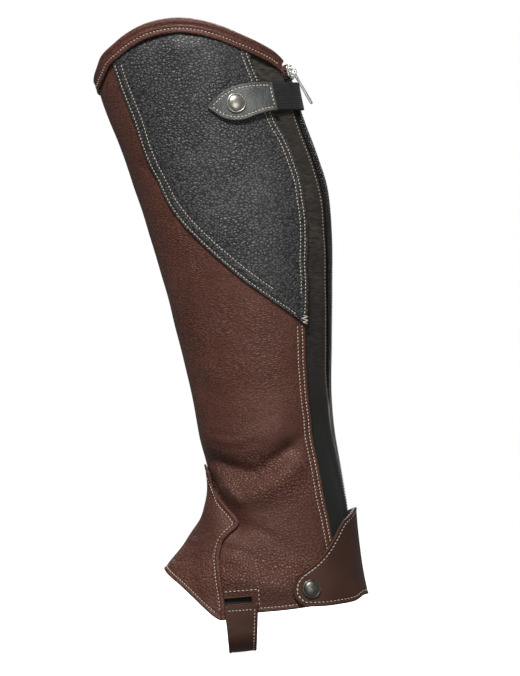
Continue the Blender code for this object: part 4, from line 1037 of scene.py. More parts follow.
def tubes(name, paths, ways, radii, finish, sides=6, flat=1.0, replaces=(), body="root"):
    """Many short round bars in one piece. paths and ways are arrays (bar, ring, xyz), radii (bar, ring).
    flat narrows the bars along the ways."""
    ahead = np.gradient(paths, axis=1)
    ahead /= np.linalg.norm(ahead, axis=2, keepdims=True)
    across = np.cross(ahead, ways)
    across /= np.linalg.norm(across, axis=2, keepdims=True)
    up = np.cross(across, ahead)
    turn = np.radians(np.arange(sides) * 360 / sides)
    ring = across[:, :, None] * np.cos(turn)[:, None] + flat * up[:, :, None] * np.sin(turn)[:, None]
    points = paths[:, :, None] + ring * radii[:, :, None, None]
    bars, rings = paths.shape[:2]
    numbers = np.arange(bars * rings * sides).reshape(bars, rings, sides)
    after = np.roll(numbers, -1, axis=2)
    quads = np.stack([numbers[:, :-1], after[:, :-1], after[:, 1:], numbers[:, 1:]], axis=-1).reshape(-1, 4)
    caps = np.concatenate([numbers[:, 0, ::-1], numbers[:, -1]])
    faces = quads.tolist() + caps.tolist()
    points = points.reshape(-1, 3)
    sample = points[numbers[0]]
    side = np.cross(sample[0, 1] - sample[0, 0], sample[1, 0] - sample[0, 0])
    if np.dot(side, sample[0, 0] - sample[0].mean(axis=0)) < 0:
        faces = [face[::-1] for face in faces]
    mesh = bpy.data.meshes.new(name)
    mesh.from_pydata((points * METRES).tolist(), [], faces)
    mesh.materials.append(FINISHES[finish])
    mesh.shade_smooth()
    return settle(bpy.data.objects.new(name, mesh), body, replaces)


def along_line(line, at):
    """Points and ways of a line (xyz and way) at these lengths along it."""
    run = np.concatenate([[0], np.cumsum(np.linalg.norm(np.diff(line[:, :3], axis=0), axis=1))])
    return np.stack([np.interp(at, run, line[:, k]) for k in range(6)], axis=-1), run[-1]


def sew(name, lines, finish="cream_thread", pitch=STITCH["pitch"], length=STITCH["length"],
        radius=STITCH["radius"]):
    """Rows of stitches along lines on a face: short humps of thread, their ends sunk in it."""
    draw = np.random.default_rng(SEED + len(name))
    ring_at = np.array([-0.5, -0.36, -0.14, 0.14, 0.36, 0.5])
    ring_rise = np.array([-0.34, 0.02, 0.20, 0.20, 0.02, -0.34])
    ring_radius = np.array([0.55, 0.9, 1.0, 1.0, 0.9, 0.55])
    paths, ways = [], []
    for line in lines:
        total = along_line(line, np.array([0.0]))[1]
        count = max(int((total - length) / pitch), 1)
        centre = length / 2 + (np.arange(count) + 0.5) * (total - length) / count
        centre = centre + draw.uniform(-0.06, 0.06, count)
        at, _ = along_line(line, (centre[:, None] + ring_at * length).ravel())
        at = at.reshape(count, len(ring_at), 6)
        points, out = at[..., :3], at[..., 3:]
        ahead = points[:, -1:] - points[:, :1]
        slant = np.cross(ahead, out)
        slant /= np.linalg.norm(slant, axis=2, keepdims=True)
        lean = STITCH["slant"] + draw.uniform(-0.07, 0.07, (count, 1, 1))
        paths.append(points + out * ring_rise[None, :, None] + slant * ring_at[None, :, None] * 2 * lean)
        ways.append(out)
    paths, ways = np.concatenate(paths), np.concatenate(ways)
    radii = radius * ring_radius * draw.uniform(0.92, 1.08, (len(paths), 1))
    return tubes(name, paths, ways, radii, finish)


def finer(line, parts=6):
    share = np.linspace(0, 1, parts, endpoint=False)[:, None]
    return np.concatenate([a * (1 - share) + b * share for a, b in zip(line, line[1:])] + [line[-1:]])


def inset(grid, side, distance, skip=(0, 0), around=False):
    """A line on a grid of points and ways, this far inside one of its sides, or inside all four of them. skip
    leaves off rows at its ends, and rows too narrow for the distance are left off."""
    turned = {"left": grid, "right": grid[:, ::-1], "bottom": np.swapaxes(grid, 0, 1),
              "top": np.swapaxes(grid, 0, 1)[:, ::-1]}[side]
    borders = [turned[:, 0], turned[:, -1], turned[0], turned[-1]] if around else [turned[:, 0]]
    border = np.concatenate([finer(line[:, :3]) for line in borders])
    near = turned[:, :INSET_COLUMNS]
    depths = nearest(near[..., :3].reshape(-1, 3), border).reshape(near.shape[:2])
    line = []
    for number in range(skip[0], len(turned) - skip[1]):
        depth = np.maximum.accumulate(depths[number])
        wide = along_line(turned[number], np.zeros(1))[1] > 1.6 * distance
        if wide and depth[-1] > distance:
            line.append([np.interp(distance, depth, near[number, :, k]) for k in range(6)])
    return np.array(line)


def on_face(places, out, surface=leg):
    """A line of points and ways on a face this far out from the leather."""
    angle, level = np.array(places).T
    return np.concatenate([place(angle, level, out, surface), normals(surface, angle, level)], axis=1)


def zip_coil():
    """Two rows of nylon coil that meet in the middle, on a narrow woven strip."""
    low, high = CHAIN_FACES[0], COIL_TOP
    levels = np.linspace(CHAIN_BOTTOM + 1, SLIDER_LEVEL + 1, 800)
    middle = on_face(beside_zip(levels, 0.0), 0.0)
    total = along_line(middle, np.array([0.0]))[1]
    count = int(total / COIL_PITCH)
    paths, ways = [], []
    wire = COIL_WIRE
    profile = np.array([(2.30, high - wire), (1.2, high - wire), (0.0, high - wire - 0.05), (-0.75, high - wire - 0.35),
                        (-0.85, (high + low) / 2 + 0.1), (-0.5, low + wire + 0.45), (0.6, low + wire + 0.42),
                        (2.30, low + wire + 0.42)])
    for side in (1, -1):
        at, _ = along_line(middle, (np.arange(count) + (0.25 if side > 0 else 0.75)) * COIL_PITCH)
        step = COIL_PITCH * 0.24 * np.linspace(-1, 1, len(profile))
        ahead, _ = along_line(middle, (np.arange(count) + 1.0) * COIL_PITCH)
        ahead = ahead[:, :3] - at[:, :3]
        ahead /= np.linalg.norm(ahead, axis=1, keepdims=True)
        across = np.cross(ahead, at[:, 3:])
        across /= np.linalg.norm(across, axis=1, keepdims=True)
        path = at[:, None, :3] + across[:, None] * (side * profile[:, 0])[None, :, None]
        path = path + at[:, None, 3:] * profile[:, 1][None, :, None] + ahead[:, None] * step[None, :, None]
        paths.append(path)
        ways.append(np.repeat(ahead[:, None], len(profile), axis=1))
    paths, ways = np.concatenate(paths), np.concatenate(ways)
    coil = tubes("coil", paths, ways, np.full(paths.shape[:2], wire), "zip_coil", replaces=("zip_chain",))
    edges = [resampled(beside_zip(levels, side * CHAIN_HALF_WIDTH), even(180)) for side in (-1, 1)]
    cloth("coil_strip", [rows_between(*edges, 5)], low, 0.35, ("zip_tape",) * 3)
    return coil


def turned_points(profile, centre, axis, steps):
    axis = axis / np.linalg.norm(axis)
    side = np.cross(axis, (0.0, 0.0, 1.0))
    side /= np.linalg.norm(side)
    other = np.cross(axis, side)
    turn = np.radians(np.arange(steps) * 360 / steps)
    points, rings = [], []
    for radius, height in profile:
        count = 1 if radius == 0 else steps
        rings.append([len(points) + (step if count > 1 else 0) for step in range(steps)])
        points += [centre + axis * height + radius * (side * np.cos(t) + other * np.sin(t)) for t in turn[:count]]
    faces = []
    for low, high in zip(rings, rings[1:]):
        for step in range(steps):
            after = (step + 1) % steps
            faces.append(tuple(dict.fromkeys((low[step], low[after], high[after], high[step]))))
    return np.array(points), faces


def snap(name, spot, strap_inner, thickness, surface, finish, radius=SNAP_RADIUS):
    """A domed snap cap with a rolled rim and a narrow groove round the dome."""
    angle, level = on_leg([spot]).T
    centre, axis = surface(angle, level)[0], normals(skin, angle, level)[0]
    base = strap_inner + thickness + SNAP_EDGE
    turn = np.radians(np.linspace(0, 90, 12)[:-1])
    dome_radius, dome_base = radius - 1.05, base + 0.62
    dome = [(dome_radius * np.cos(t), dome_base + (SNAP_DOME - 0.62) * np.sin(t) ** 0.9) for t in turn]
    rim_turn = np.radians(np.linspace(-90, 150, 10))
    rim = [(radius - 0.55 + 0.55 * np.cos(t), base + 0.55 + 0.55 * np.sin(t)) for t in rim_turn]
    profile = [(0, base), *rim, *dome, (0, base + SNAP_DOME)]
    points, faces = turned_points(profile, centre, axis, 56)
    return add_piece(f"snap_{name}", points, faces, [finish], replaces=(f"snap_cap_{name}",))


def smoothed_outline(controls, count):
    """A closed smooth curve through corner points, as count points."""
    controls = np.array(controls, float)
    closed = np.concatenate([controls[-2:], controls, controls[:3]])
    knots = np.arange(-2, len(controls) + 3, dtype=float)
    at = np.linspace(0, len(controls), count, endpoint=False)
    return np.stack([spline(knots, closed[:, k], at) for k in (0, 1)], axis=-1)


def plate(outline, thickness, bevel):
    """A flat plate from an outline in its plane, with bevelled edges: points and faces about its middle."""
    outline = np.array(outline)
    middle = outline.mean(axis=0)
    half = thickness / 2
    size = np.abs(outline - middle).max(axis=0)
    rings = []
    for shrink, height in ((bevel, -half), (bevel * 0.3, -half + bevel * 0.3), (0, -half + bevel),
                           (0, half - bevel), (bevel * 0.3, half - bevel * 0.3), (bevel, half)):
        flat = middle + (outline - middle) * (1 - shrink / size)
        rings.append(np.column_stack([flat, np.full(len(flat), height)]))
    points = np.concatenate(rings)
    numbers = np.arange(len(points)).reshape(len(rings), -1)
    closed = np.concatenate([numbers, numbers[:, :1]], axis=1)
    return points, [tuple(quad) for quad in grid_quads(closed)] + [tuple(numbers[0][::-1]), tuple(numbers[-1])]


def placed_plate(name, outline, thickness, bevel, centre, across, along, out, finish, body="root", replaces=()):
    points, faces = plate(outline, thickness, bevel)
    solid = centre + points @ np.array([across, along, out])
    made = add_piece(name, solid, faces, [finish], body=body, replaces=replaces)
    made.data.set_sharp_from_angle(angle=np.radians(40))
    return made


def zip_slider():
    """The slider: a shouldered top plate, side flanges and the bridge that the pull tab hangs from."""
    centre, across, along, out = zip_frame(SLIDER_LEVEL)
    width, length, height = SLIDER_SIZE
    base = CHAIN_FACES[1] + 0.3
    half = width / 2
    outline = smoothed_outline([(-half * 0.5, length / 2), (half * 0.5, length / 2), (half, length * 0.32),
                                (half * 0.96, 0), (half * 0.70, -length * 0.38), (half * 0.5, -length / 2),
                                (-half * 0.5, -length / 2), (-half * 0.70, -length * 0.38), (-half * 0.96, 0),
                                (-half, length * 0.32)], 60)
    top_plate = 1.2
    middle = centre + out * (base + height - top_plate / 2)
    body = placed_plate("slider_plate", outline, top_plate, 0.35, middle, across, along, out, "bright_nickel",
                        replaces=("zip_slider",))
    for side in (-1, 1):
        flange_at = centre + across * side * (half - 0.65) + along * 1.0 + out * (base + (height - top_plate) / 2 - 0.1)
        flange = smoothed_outline([(-0.5, -3.8), (0.5, -3.8), (0.55, 0), (0.5, 3.6), (-0.5, 3.6), (-0.55, 0)], 24)
        placed_plate(f"slider_flange_{'outer' if side > 0 else 'inner'}", flange, height - top_plate - 0.05, 0.2,
                     flange_at, across, along, out, "bright_nickel")
    top = centre + out * (base + height)
    reach, rise = BRIDGE_LENGTH / 2 - BRIDGE_WIRE, BRIDGE_RISE + BRIDGE_WIRE
    turn = np.radians(np.linspace(-12, 192, 25))
    path = np.array([top + along * reach * np.cos(t) + out * rise * np.sin(t) for t in turn])
    ways = np.repeat(across[None], len(path), axis=0)
    radii = BRIDGE_WIRE * (1 + 0.12 * np.cos(turn) ** 2)
    tubes("slider_bridge", path[None], ways[None], radii[None], "bright_nickel", sides=12)
    return body


def pull_hinge():
    """The pull tab's hinge: its point, and the ways across the zip, along the hanging tab, and off it."""
    centre, across, along, out = zip_frame(SLIDER_LEVEL)
    point = centre + out * (CHAIN_FACES[1] + 0.3 + SLIDER_SIZE[2] + PIVOT_RISE)
    lift = np.radians(PULL_LIFT)
    down = -along * np.cos(lift) + out * np.sin(lift)
    face = out * np.cos(lift) + along * np.sin(lift)
    return point, across, down, face


def zip_pull_tab():
    """The pull tab: an eye at its upper end, a narrow neck and a blade that widens to a rounded end."""
    point, across, down, face = pull_hinge()
    width, length, thickness = PULL_SIZE
    half = width / 2
    start, end = -PULL_END_BAR, length - PULL_END_BAR
    outline = smoothed_outline([(-half * 0.62, start), (half * 0.62, start), (half, 1.6), (half * 0.98, 5.0),
                                (half * 0.62, 8.6), (half * 0.72, 14.0), (half * 0.96, end - 4.0),
                                (half * 0.66, end), (-half * 0.66, end), (-half * 0.96, end - 4.0),
                                (-half * 0.72, 14.0), (-half * 0.62, 8.6), (-half * 0.98, 5.0), (-half, 1.6)], 96)
    made = placed_plate("pull", outline, thickness, 0.28, point, across, down, face, "bright_nickel",
                        body="pull_tab", replaces=("zip_pull_tab",))
    eye = block_mesh("eye_cutter", (*PULL_EYE, 4.0), 0.9, 4)
    eye_middle = point + down * (PULL_END_BAR + PULL_EYE[1] / 2)
    cut(made, eye, frame_matrix(eye_middle, across, -down, face))
    made.data.shade_smooth()
    made.data.set_sharp_from_angle(angle=np.radians(40))
    return made


def running_most(values, reach):
    """Each value's highest neighbour within reach, softened."""
    padded = np.pad(values, reach, mode="edge")
    most = np.array([padded[i:i + 2 * reach + 1].max() for i in range(len(values))])
    padded = np.pad(most, reach, mode="edge")
    return np.array([padded[i:i + 2 * reach + 1].mean() for i in range(len(values))])


def cuff_seats(edge):
    """How far out the cuff's two leaves lie on the panels, at each place of its top edge."""
    angle, level = moved(edge, 3 - CUFF_WIDTH).T
    calf_back = np.interp(level, CALF_BACK_LINE[:, 1], CALF_BACK_LINE[:, 0])
    calf_front = np.interp(level, CALF_FRONT_LINE[:, 1], CALF_FRONT_LINE[:, 0])
    on_calf = (angle > calf_back - 1) & (angle < calf_front + 1)
    outermost = np.where(on_calf, calf_inner(angle, level) + PANEL_LEATHER, 0.0)
    gusset = gusset_inner(angle, level)
    outermost = np.where(angle < calf_back - 1, gusset + STRETCH_CLOTH, outermost)
    innermost = np.where(angle < calf_back + CUFF_GUSSET_REACH, gusset, -LEATHER)
    from_zip = np.abs(angle - zip_angle(level) - np.where(angle > 180, 360, 0))
    on_tape = np.minimum(innermost, TAPE_OUTER - TAPE_CLOTH)
    innermost = np.where(from_zip < CUFF_TAPE_REACH, on_tape, innermost)
    return running_most(outermost, 2) + SEAM_GAP, -running_most(-innermost, 2) - LAP_GAP


def top_cuff():
    """The bound top edge: one strip of leather folded over the panels' upper edges, drawn in at its seam."""
    coarse = top_line(52, CUFF_OPENING)
    share = run_along(coarse) / run_along(coarse)[-1]
    edge = top_line(300, CUFF_OPENING)
    fine_share = run_along(edge) / run_along(edge)[-1]
    outer, inner = (np.interp(fine_share, share, seat) for seat in cuff_seats(coarse))
    wide, middle = CUFF_LEATHER, (outer + inner) / 2
    flat = np.zeros(len(edge))
    controls = [
        (CUFF_WIDTH, outer + wide * 0.45), (CUFF_WIDTH - 0.15, outer + wide * 0.85), (CUFF_WIDTH - 0.8, outer + wide),
        (9.8, outer + wide + 0.15), (CUFF_ROW, outer + wide - 0.30), (6.6, outer + wide + 0.40),
        (5.2, outer + wide + 0.05),
        (3.0, outer + wide + CUFF_ROLL), (1.5, outer + wide + 0.55), (0.45, middle + 0.7 * (outer + wide - middle)),
        (0.0, middle), (0.45, middle - 0.7 * (middle - inner + wide)), (1.5, inner - wide - 0.55),
        (3.0, inner - wide - CUFF_ROLL), (5.2, inner - wide - 0.05), (6.6, inner - wide - 0.40),
        (CUFF_ROW, inner - wide + 0.30), (9.8, inner - wide - 0.15), (CUFF_WIDTH - 0.8, inner - wide),
        (CUFF_WIDTH, inner - wide * 0.5),
    ]
    depth = np.stack([flat + row[0] for row in controls])
    out = np.stack([flat + row[1] for row in controls])
    knots = np.arange(len(controls), dtype=float)
    at = np.linspace(0, len(controls) - 1, 60)
    depth, out = (np.stack([spline(knots, table[:, i], at) for i in range(len(edge))], axis=1)
                  for table in (depth, out))
    slot = [(CUFF_WIDTH, inner), (CUFF_SLOT_TOP, inner), (CUFF_SLOT_TOP, outer), (CUFF_WIDTH, outer)]
    depth = np.concatenate([depth, np.stack([flat + row[0] for row in slot])])
    out = np.concatenate([out, np.stack([flat + row[1] for row in slot])])
    run = run_along(edge)
    draw = np.random.default_rng(SEED + 11)
    puckers = sum(np.sin(run * 2 * np.pi / pitch + draw.uniform(0, 6.28)) for pitch in (5.3, 7.9, 13.1, 21.0)) / 4
    rolled = hump(depth, 3.6, 2.4) * np.sign(out - middle)
    out = out + 0.16 * puckers * rolled
    rings = []
    for ring_depth, ring_out in zip(depth, out):
        lowered = moved_by(edge, -ring_depth)
        rings.append(place(lowered[:, 0], lowered[:, 1], ring_out))
    points = np.stack(rings, axis=1).reshape(-1, 3)
    numbers = np.arange(len(points)).reshape(len(edge), len(rings))
    closed = np.concatenate([numbers, numbers[:, :1]], axis=1)
    faces = [tuple(quad) for quad in grid_quads(closed)] + [tuple(numbers[0][::-1]), tuple(numbers[-1])]
    made = add_piece("cuff", points, faces, ["cuff_leather"], replaces=("top_cuff",))
    made.data.set_sharp_from_angle(angle=np.radians(60))
    row = moved(edge, -CUFF_ROW)
    angle, level = row.T
    outer_line = on_face(row, outer + wide - 0.2)
    inner_line = on_face(row, inner - wide + 0.2)
    inner_line[:, 3:] *= -1
    return made, outer_line[3:-3], inner_line[3:-3]


def moved_by(places, distances):
    """As moved, with a distance for each place."""
    unit = moved(places, 1.0) - places
    return places + unit * distances[:, None]


def instep_relief(angle, level):
    edge, hem = instep_distance(angle, level), front_hem_distance(angle, level)
    relief = 0.75 * hump(edge, 1.9, 1.5) * smoothstep(214.0, 236.0, -level) + stitched_dips(edge, (INSTEP_ROW,), 0.32)
    relief += stitched_dips(hem, (HEM_ROW,)) + 0.3 * hump(hem, 1.3, 1.0)
    return relief + unevenness(skin(angle, level), 0.3, 24.0, 4)


def instep_panel():
    """The panel over the instep, whose pointed top closes the leg panel's notch."""
    rows, columns = stepped(110, 58, SEAM_STEPS, RIM_STEPS), stepped(115, 48, SEAM_STEPS, SEAM_STEPS)
    outer = resampled(np.concatenate([on_leg(INSTEP_BACK), INSTEP_TOP[:1]]), rows)
    hem = np.concatenate([on_leg(HEM_FRONT), at_angles([HEM_APEX]), mirrored(on_leg(HEM_FRONT))[::-1]])
    grid = coons(resampled(hem, columns), resampled(INSTEP_TOP, columns), outer, mirrored(outer))
    finishes = ("brown_leather", "leather_back", "brown_leather")
    return cloth("instep_leather", [grid], instep_inner, PANEL_LEATHER, finishes, instep_relief,
                 ("instep_panel",))


def strap_wall(name, grid, inner, thickness, finishes, relief, replaces, surface=skin):
    numbers = np.arange(grid[..., 0].size).reshape(grid.shape[:2])
    faces = [place(grid[..., 0], grid[..., 1], inner + extra, surface).reshape(-1, 3) for extra in (0.0, thickness)]
    return wall(name, *faces, [numbers], finishes, np.ravel(relief), replaces)


def edge_runs(grid):
    """Each point's distance from a grid of places' four sides: left, right, bottom and top."""
    points = skin(grid[..., 0], grid[..., 1])
    across = np.linalg.norm(np.diff(points, axis=1), axis=2)
    along = np.cumsum(np.pad(across, ((0, 0), (1, 0))), axis=1)
    upward = np.linalg.norm(np.diff(points, axis=0), axis=2)
    up = np.cumsum(np.pad(upward, ((1, 0), (0, 0))), axis=0)
    return along, along[:, -1:] - along, up, up[-1:] - up


def heel_strap():
    """The leather strap round the heel, sewn on at the inner side and snapped on at the outer side."""
    rows, columns = stepped(62, 30, SEAM_STEPS[:8], SEAM_STEPS[:8]), stepped(185, 110, SEAM_STEPS[:8], SEAM_STEPS[:8])
    top = np.concatenate([at_angles(HEEL_TOP_INNER), on_leg(HEEL_TOP)])
    bottom = np.concatenate([at_angles(HEEL_HEM_INNER), on_leg(HEEL_HEM)])
    left = bottom[0] + np.multiply.outer(rows, top[0] - bottom[0])
    grid = coons(resampled(bottom, columns), resampled(top, columns), left, resampled(on_leg(HEEL_LOBE), rows))
    angle = grid[..., 0]
    up = rows[:, None]
    rest = np.interp(angle, HEEL_REST["angle"], HEEL_REST["out"])
    off = HEEL_STAND_OFF
    stand_off = off["upper"] * up**2 * hump(angle, off["angle"], off["spread"])
    edge = np.minimum.reduce(edge_runs(grid))
    relief = 0.42 * hump(edge, 1.3, 1.0) + stitched_dips(edge, (HEEL_ROW,), 0.35)
    relief = relief + unevenness(skin(grid[..., 0], grid[..., 1]), 0.15, 30.0, 5)
    return strap_wall("heel_leather", grid, rest + stand_off, HEEL_LEATHER,
                      ("smooth_brown_leather", "leather_back", "smooth_brown_leather"), relief, ("heel_strap",))


def strap_elastic():
    """The elastic of the top strap, ribbed lengthwise, its upper edge off the leg over the zip."""
    rows, columns = stepped(20, 78, RIM_STEPS[:3], RIM_STEPS[:3]), stepped(95, 110, RIM_STEPS[:3], RIM_STEPS[:3])
    up = rows[:, None]
    angle = BAND_ENDS[0] + np.ptp(BAND_ENDS) * columns
    angle, z = np.broadcast_arrays(angle, BAND_EDGES[0] + np.ptp(BAND_EDGES) * up)
    rest = BAND_END_REST + (BAND_REST - BAND_END_REST) * smoothstep(BAND_ENDS[0] + 6, BAND_ENDS[0] + 20, angle)
    off = BAND_STAND_OFF
    lift = off["lower"] + (off["upper"] - off["lower"]) * up
    lift = lift * hump(angle, off["angle"], off["spread"])
    grid = np.stack([angle, level_at(angle, z)], axis=-1)
    relief = 0.07 * np.cos(2 * np.pi * BAND_RIBS * up) * np.ones(columns.shape)
    return strap_wall("elastic_band", grid, rest + lift, ELASTIC, ("black_elastic",) * 3, relief,
                      ("strap_elastic",))


def tab_inner(angle, level):
    """The tab's inner face: on the calf panel at its tip, on the elastic at its other end."""
    return np.interp(skin(angle, level)[..., 0], TAB_REST["x"], TAB_REST["out"])


def within(row, distance, others):
    """The places of a row that lie at least this far from the piece's other edges."""
    kept = np.ones(len(row), bool)
    for other in others:
        kept &= distance_to(other)(row[:, 0], row[:, 1]) > 0.97 * distance
    return row[kept]


def tab_rows():
    """The sewing round the tab, which meets in a point at the tip."""
    bottom, top = (resampled(on_leg(edge), even(160)) for edge in (TAB_BOTTOM, TAB_TOP))
    end = bottom[0] + np.multiply.outer(even(60), top[0] - bottom[0])
    rows = [within(moved(bottom, TAB_ROW), TAB_ROW, (top, end)), within(moved(top, -TAB_ROW), TAB_ROW, (bottom, end)),
            within(moved(end, -TAB_ROW), TAB_ROW, (bottom, top))]
    return [on_face(row, tab_inner(*row.T) + STRAP_LEATHER - 0.1) for row in rows]


def heel_rows(grid):
    """The sewing round the heel strap: along its long edges, round its lobe and up its sewn end."""
    return [inset(grid, side, HEEL_ROW, around=True) for side in ("bottom", "top", "left", "right")]


def strap_tab():
    rows, columns = stepped(21, 12, SEAM_STEPS[:7], SEAM_STEPS[:7]), stepped(50, 40, SEAM_STEPS[:7], RIM_STEPS)
    bottom, top = on_leg(TAB_BOTTOM), on_leg(TAB_TOP)
    grid = coons(resampled(bottom, columns), resampled(top, columns),
                 bottom[0] + np.multiply.outer(rows, top[0] - bottom[0]),
                 bottom[-1] + np.multiply.outer(rows, top[-1] - bottom[-1]))
    left, right, low, high = edge_runs(grid)
    edge = np.minimum.reduce([left, low, high])
    relief = 0.25 * hump(edge, 1.0, 0.8) + stitched_dips(edge, (TAB_ROW,), 0.42, 0.6)
    relief = relief - 0.22 * hump(left, 9.5, 0.5) * smoothstep(3, 7, low) * smoothstep(3, 7, high)
    relief = relief - 0.16 * hump(left, 12.0, 0.4) * smoothstep(4, 9, low) * smoothstep(6, 12, high)
    finishes = ("black_tab_leather", "black_leather_back", "black_tab_leather")
    return strap_wall("tab_leather", grid, tab_inner(grid[..., 0], grid[..., 1]), STRAP_LEATHER, finishes,
                      relief, ("strap_tab",), leg)


def foot_elastics():
    """Two short elastics behind the windows, sewn inside the leg panel."""
    box, made = FOOT_ELASTIC, []
    rows, columns = stepped(18, 60, RIM_STEPS[:3], RIM_STEPS[:3]), stepped(21, 24, RIM_STEPS[:3], RIM_STEPS[:3])
    x, z = np.meshgrid(box["back"] + (box["front"] - box["back"]) * columns,
                       box["bottom"] + (box["top"] - box["bottom"]) * rows)
    outer = on_leg(np.stack([x.ravel(), z.ravel()], axis=-1))
    relief = 0.26 * np.cos(2 * np.pi * FOOT_ELASTIC_RIBS * columns)[None, :] * np.ones((len(rows), 1))
    for side, places in (("outer", outer), ("inner", mirrored(outer))):
        grid = places.reshape(len(rows), len(columns), 2)
        name = f"foot_elastic_{side}"
        made.append(strap_wall(f"foot_band_{side}", grid, np.full(grid.shape[:2], FOOT_ELASTIC_OUTER - ELASTIC),
                               ELASTIC, ("black_elastic",) * 3, relief, (name,), leg)[0])
    return made


def strap_row(z, shares):
    """x of the foot strap's points across it, at this height."""
    drop = (z - STRAP_TOP["z"]) / (STRAP_BASE["z"] - STRAP_TOP["z"])
    front, back = (STRAP_TOP[edge] + (STRAP_BASE[edge] - STRAP_TOP[edge]) * drop for edge in ("front", "back"))
    return front + (back - front) * shares


def foot_strap():
    """The strap under the sole: down the outer side, flat beneath, and up the inner side."""
    shares = stepped(22, 12, SEAM_STEPS[:7], SEAM_STEPS[:7])
    bend_z, bend_y = STRAP_BASE["z"] + STRAP_CORNER, STRAP_SIDE - STRAP_CORNER
    lap_levels = STRAP_LAP_LEVELS[0] + np.ptp(STRAP_LAP_LEVELS) * -stepped(8, 5, RIM_STEPS)
    runs = [(bend_y, z, 0.0) for z in np.linspace(STRAP_BEND_TOP, bend_z, 4)[:-1]]
    runs += [(bend_y, bend_z, t) for t in np.radians(np.linspace(0, 90, 16))]
    runs += [(y, bend_z, np.pi / 2) for y in np.linspace(bend_y, 0, 12)[1:]]
    faces = []
    for extra in (0.0, STRAP_LEATHER):
        sides = []
        for side in (-1, 1):
            rows = []
            for z in lap_levels:
                x = strap_row(z, shares)
                places = on_leg(np.stack([x, z + STRAP_SLOPE * x], axis=-1))
                places = places if side < 0 else mirrored(places)
                rows.append(place(places[:, 0], places[:, 1], LAP_GAP + extra))
            radius = STRAP_CORNER - STRAP_LEATHER + extra
            for y, z, turn in runs:
                height = z - radius * np.sin(turn)
                x = strap_row(height, shares)
                width = np.full(len(x), side * (y + radius * np.cos(turn)))
                rows.append(np.stack([x, width, height + STRAP_SLOPE * x], axis=-1))
            sides.append(rows if side < 0 else rows[-2::-1])
        faces.append(np.array(sides[0] + sides[1]))
    numbers = np.arange(faces[0][..., 0].size).reshape(faces[0].shape[:2])
    width = np.linalg.norm(faces[0][:, -1] - faces[0][:, 0], axis=1)[:, None]
    edge = np.minimum(shares, 1 - shares) * width
    relief = 0.3 * hump(edge, 1.1, 0.9) + stitched_dips(edge, (FOOT_STRAP_ROW,), 0.3)
    return wall("foot_strap_leather", faces[0].reshape(-1, 3), faces[1].reshape(-1, 3), [numbers],
                ("smooth_brown_leather", "leather_back", "smooth_brown_leather"), relief.ravel(), ("foot_strap",))


def window_piping():
    """The rolled edge round each window."""
    half_long, half_high = WINDOW["length"] / 2 + 0.35, WINDOW["height"] / 2 + 0.35
    corner = 1.4
    outline = []
    for cx, cz, start in ((1, 1, 0), (-1, 1, 90), (-1, -1, 180), (1, -1, 270)):
        for t in np.radians(np.linspace(start, start + 90, 7)):
            outline.append((cx * (half_long - corner) + corner * np.cos(t), cz * (half_high - corner) + corner * np.sin(t)))
    slope = np.radians(WINDOW["slope"])
    turn = np.array([(np.cos(slope), np.sin(slope)), (-np.sin(slope), np.cos(slope))])
    flat = np.array(outline) @ turn + (WINDOW["x"], WINDOW["z"])
    outer = on_leg(flat)
    for side, places in (("outer", outer), ("inner", mirrored(outer))):
        line = on_face(places, -0.15)
        line = np.concatenate([line, line[:1]])
        at, total = along_line(line, np.linspace(0, along_line(line, np.zeros(1))[1], 90, endpoint=False))
        path = np.concatenate([at, at[:1]])
        ring_tube(f"window_piping_{side}", path, WINDOW_PIPING, "brown_leather")


def ring_tube(name, path, radius, finish, sides=10):
    """A closed round bar along a line of points and ways whose ends meet."""
    points, ways = path[:-1, :3], path[:-1, 3:]
    ahead = np.roll(points, -1, axis=0) - np.roll(points, 1, axis=0)
    ahead /= np.linalg.norm(ahead, axis=1, keepdims=True)
    across = np.cross(ahead, ways)
    across /= np.linalg.norm(across, axis=1, keepdims=True)
    up = np.cross(across, ahead)
    turn = np.radians(np.arange(sides) * 360 / sides)
    ring = across[:, None] * np.cos(turn)[:, None] + up[:, None] * np.sin(turn)[:, None]
    solid = points[:, None] + ring * radius
    numbers = np.arange(solid.shape[0] * sides).reshape(-1, sides)
    numbers = np.concatenate([numbers, numbers[:1]])
    closed = np.concatenate([numbers, numbers[:, :1]], axis=1)
    return add_piece(name, solid.reshape(-1, 3), [tuple(quad) for quad in grid_quads(closed)], [finish])


def stage():
    """A plain pale round floor just under the foot strap, which casts no light of its own on the part."""
    floor, reach, corners = -0.3554, 5.0, 96
    turn = np.arange(corners) * 2 * np.pi / corners
    mesh = bpy.data.meshes.new("studio_floor")
    mesh.from_pydata([(reach * np.cos(t), reach * np.sin(t), floor) for t in turn], [], [tuple(range(corners))])
    paper = bpy.data.materials.new("studio_paper")
    paper.use_nodes = True
    shader = paper.node_tree.nodes["Principled BSDF"]
    shader.inputs["Base Color"].default_value = (0.86, 0.86, 0.86, 1)
    shader.inputs["Roughness"].default_value = 0.9
    shader.inputs["Emission Color"].default_value = (1, 1, 1, 1)
    shader.inputs["Emission Strength"].default_value = 0.95
    mesh.materials.append(paper)
    thing = bpy.data.objects.new("studio_floor", mesh)
    thing.visible_diffuse = False
    thing.visible_glossy = False
    bpy.context.scene.collection.objects.link(thing)


def light(name, place_at, aim, size, power):
    lamp = bpy.data.lights.new(name, "AREA")
    lamp.shape = "RECTANGLE"
    lamp.size, lamp.size_y = size
    lamp.energy = power
    thing = bpy.data.objects.new(name, lamp)
    bpy.context.scene.collection.objects.link(thing)
    away = np.array(place_at, float) - np.array(aim, float)
    across = np.cross((0, 0, 1), away)
    across /= np.linalg.norm(across)
    away /= np.linalg.norm(away)
    along = np.cross(away, across)
    thing.matrix_world = frame_matrix(np.array(place_at) / METRES, across, along, away)


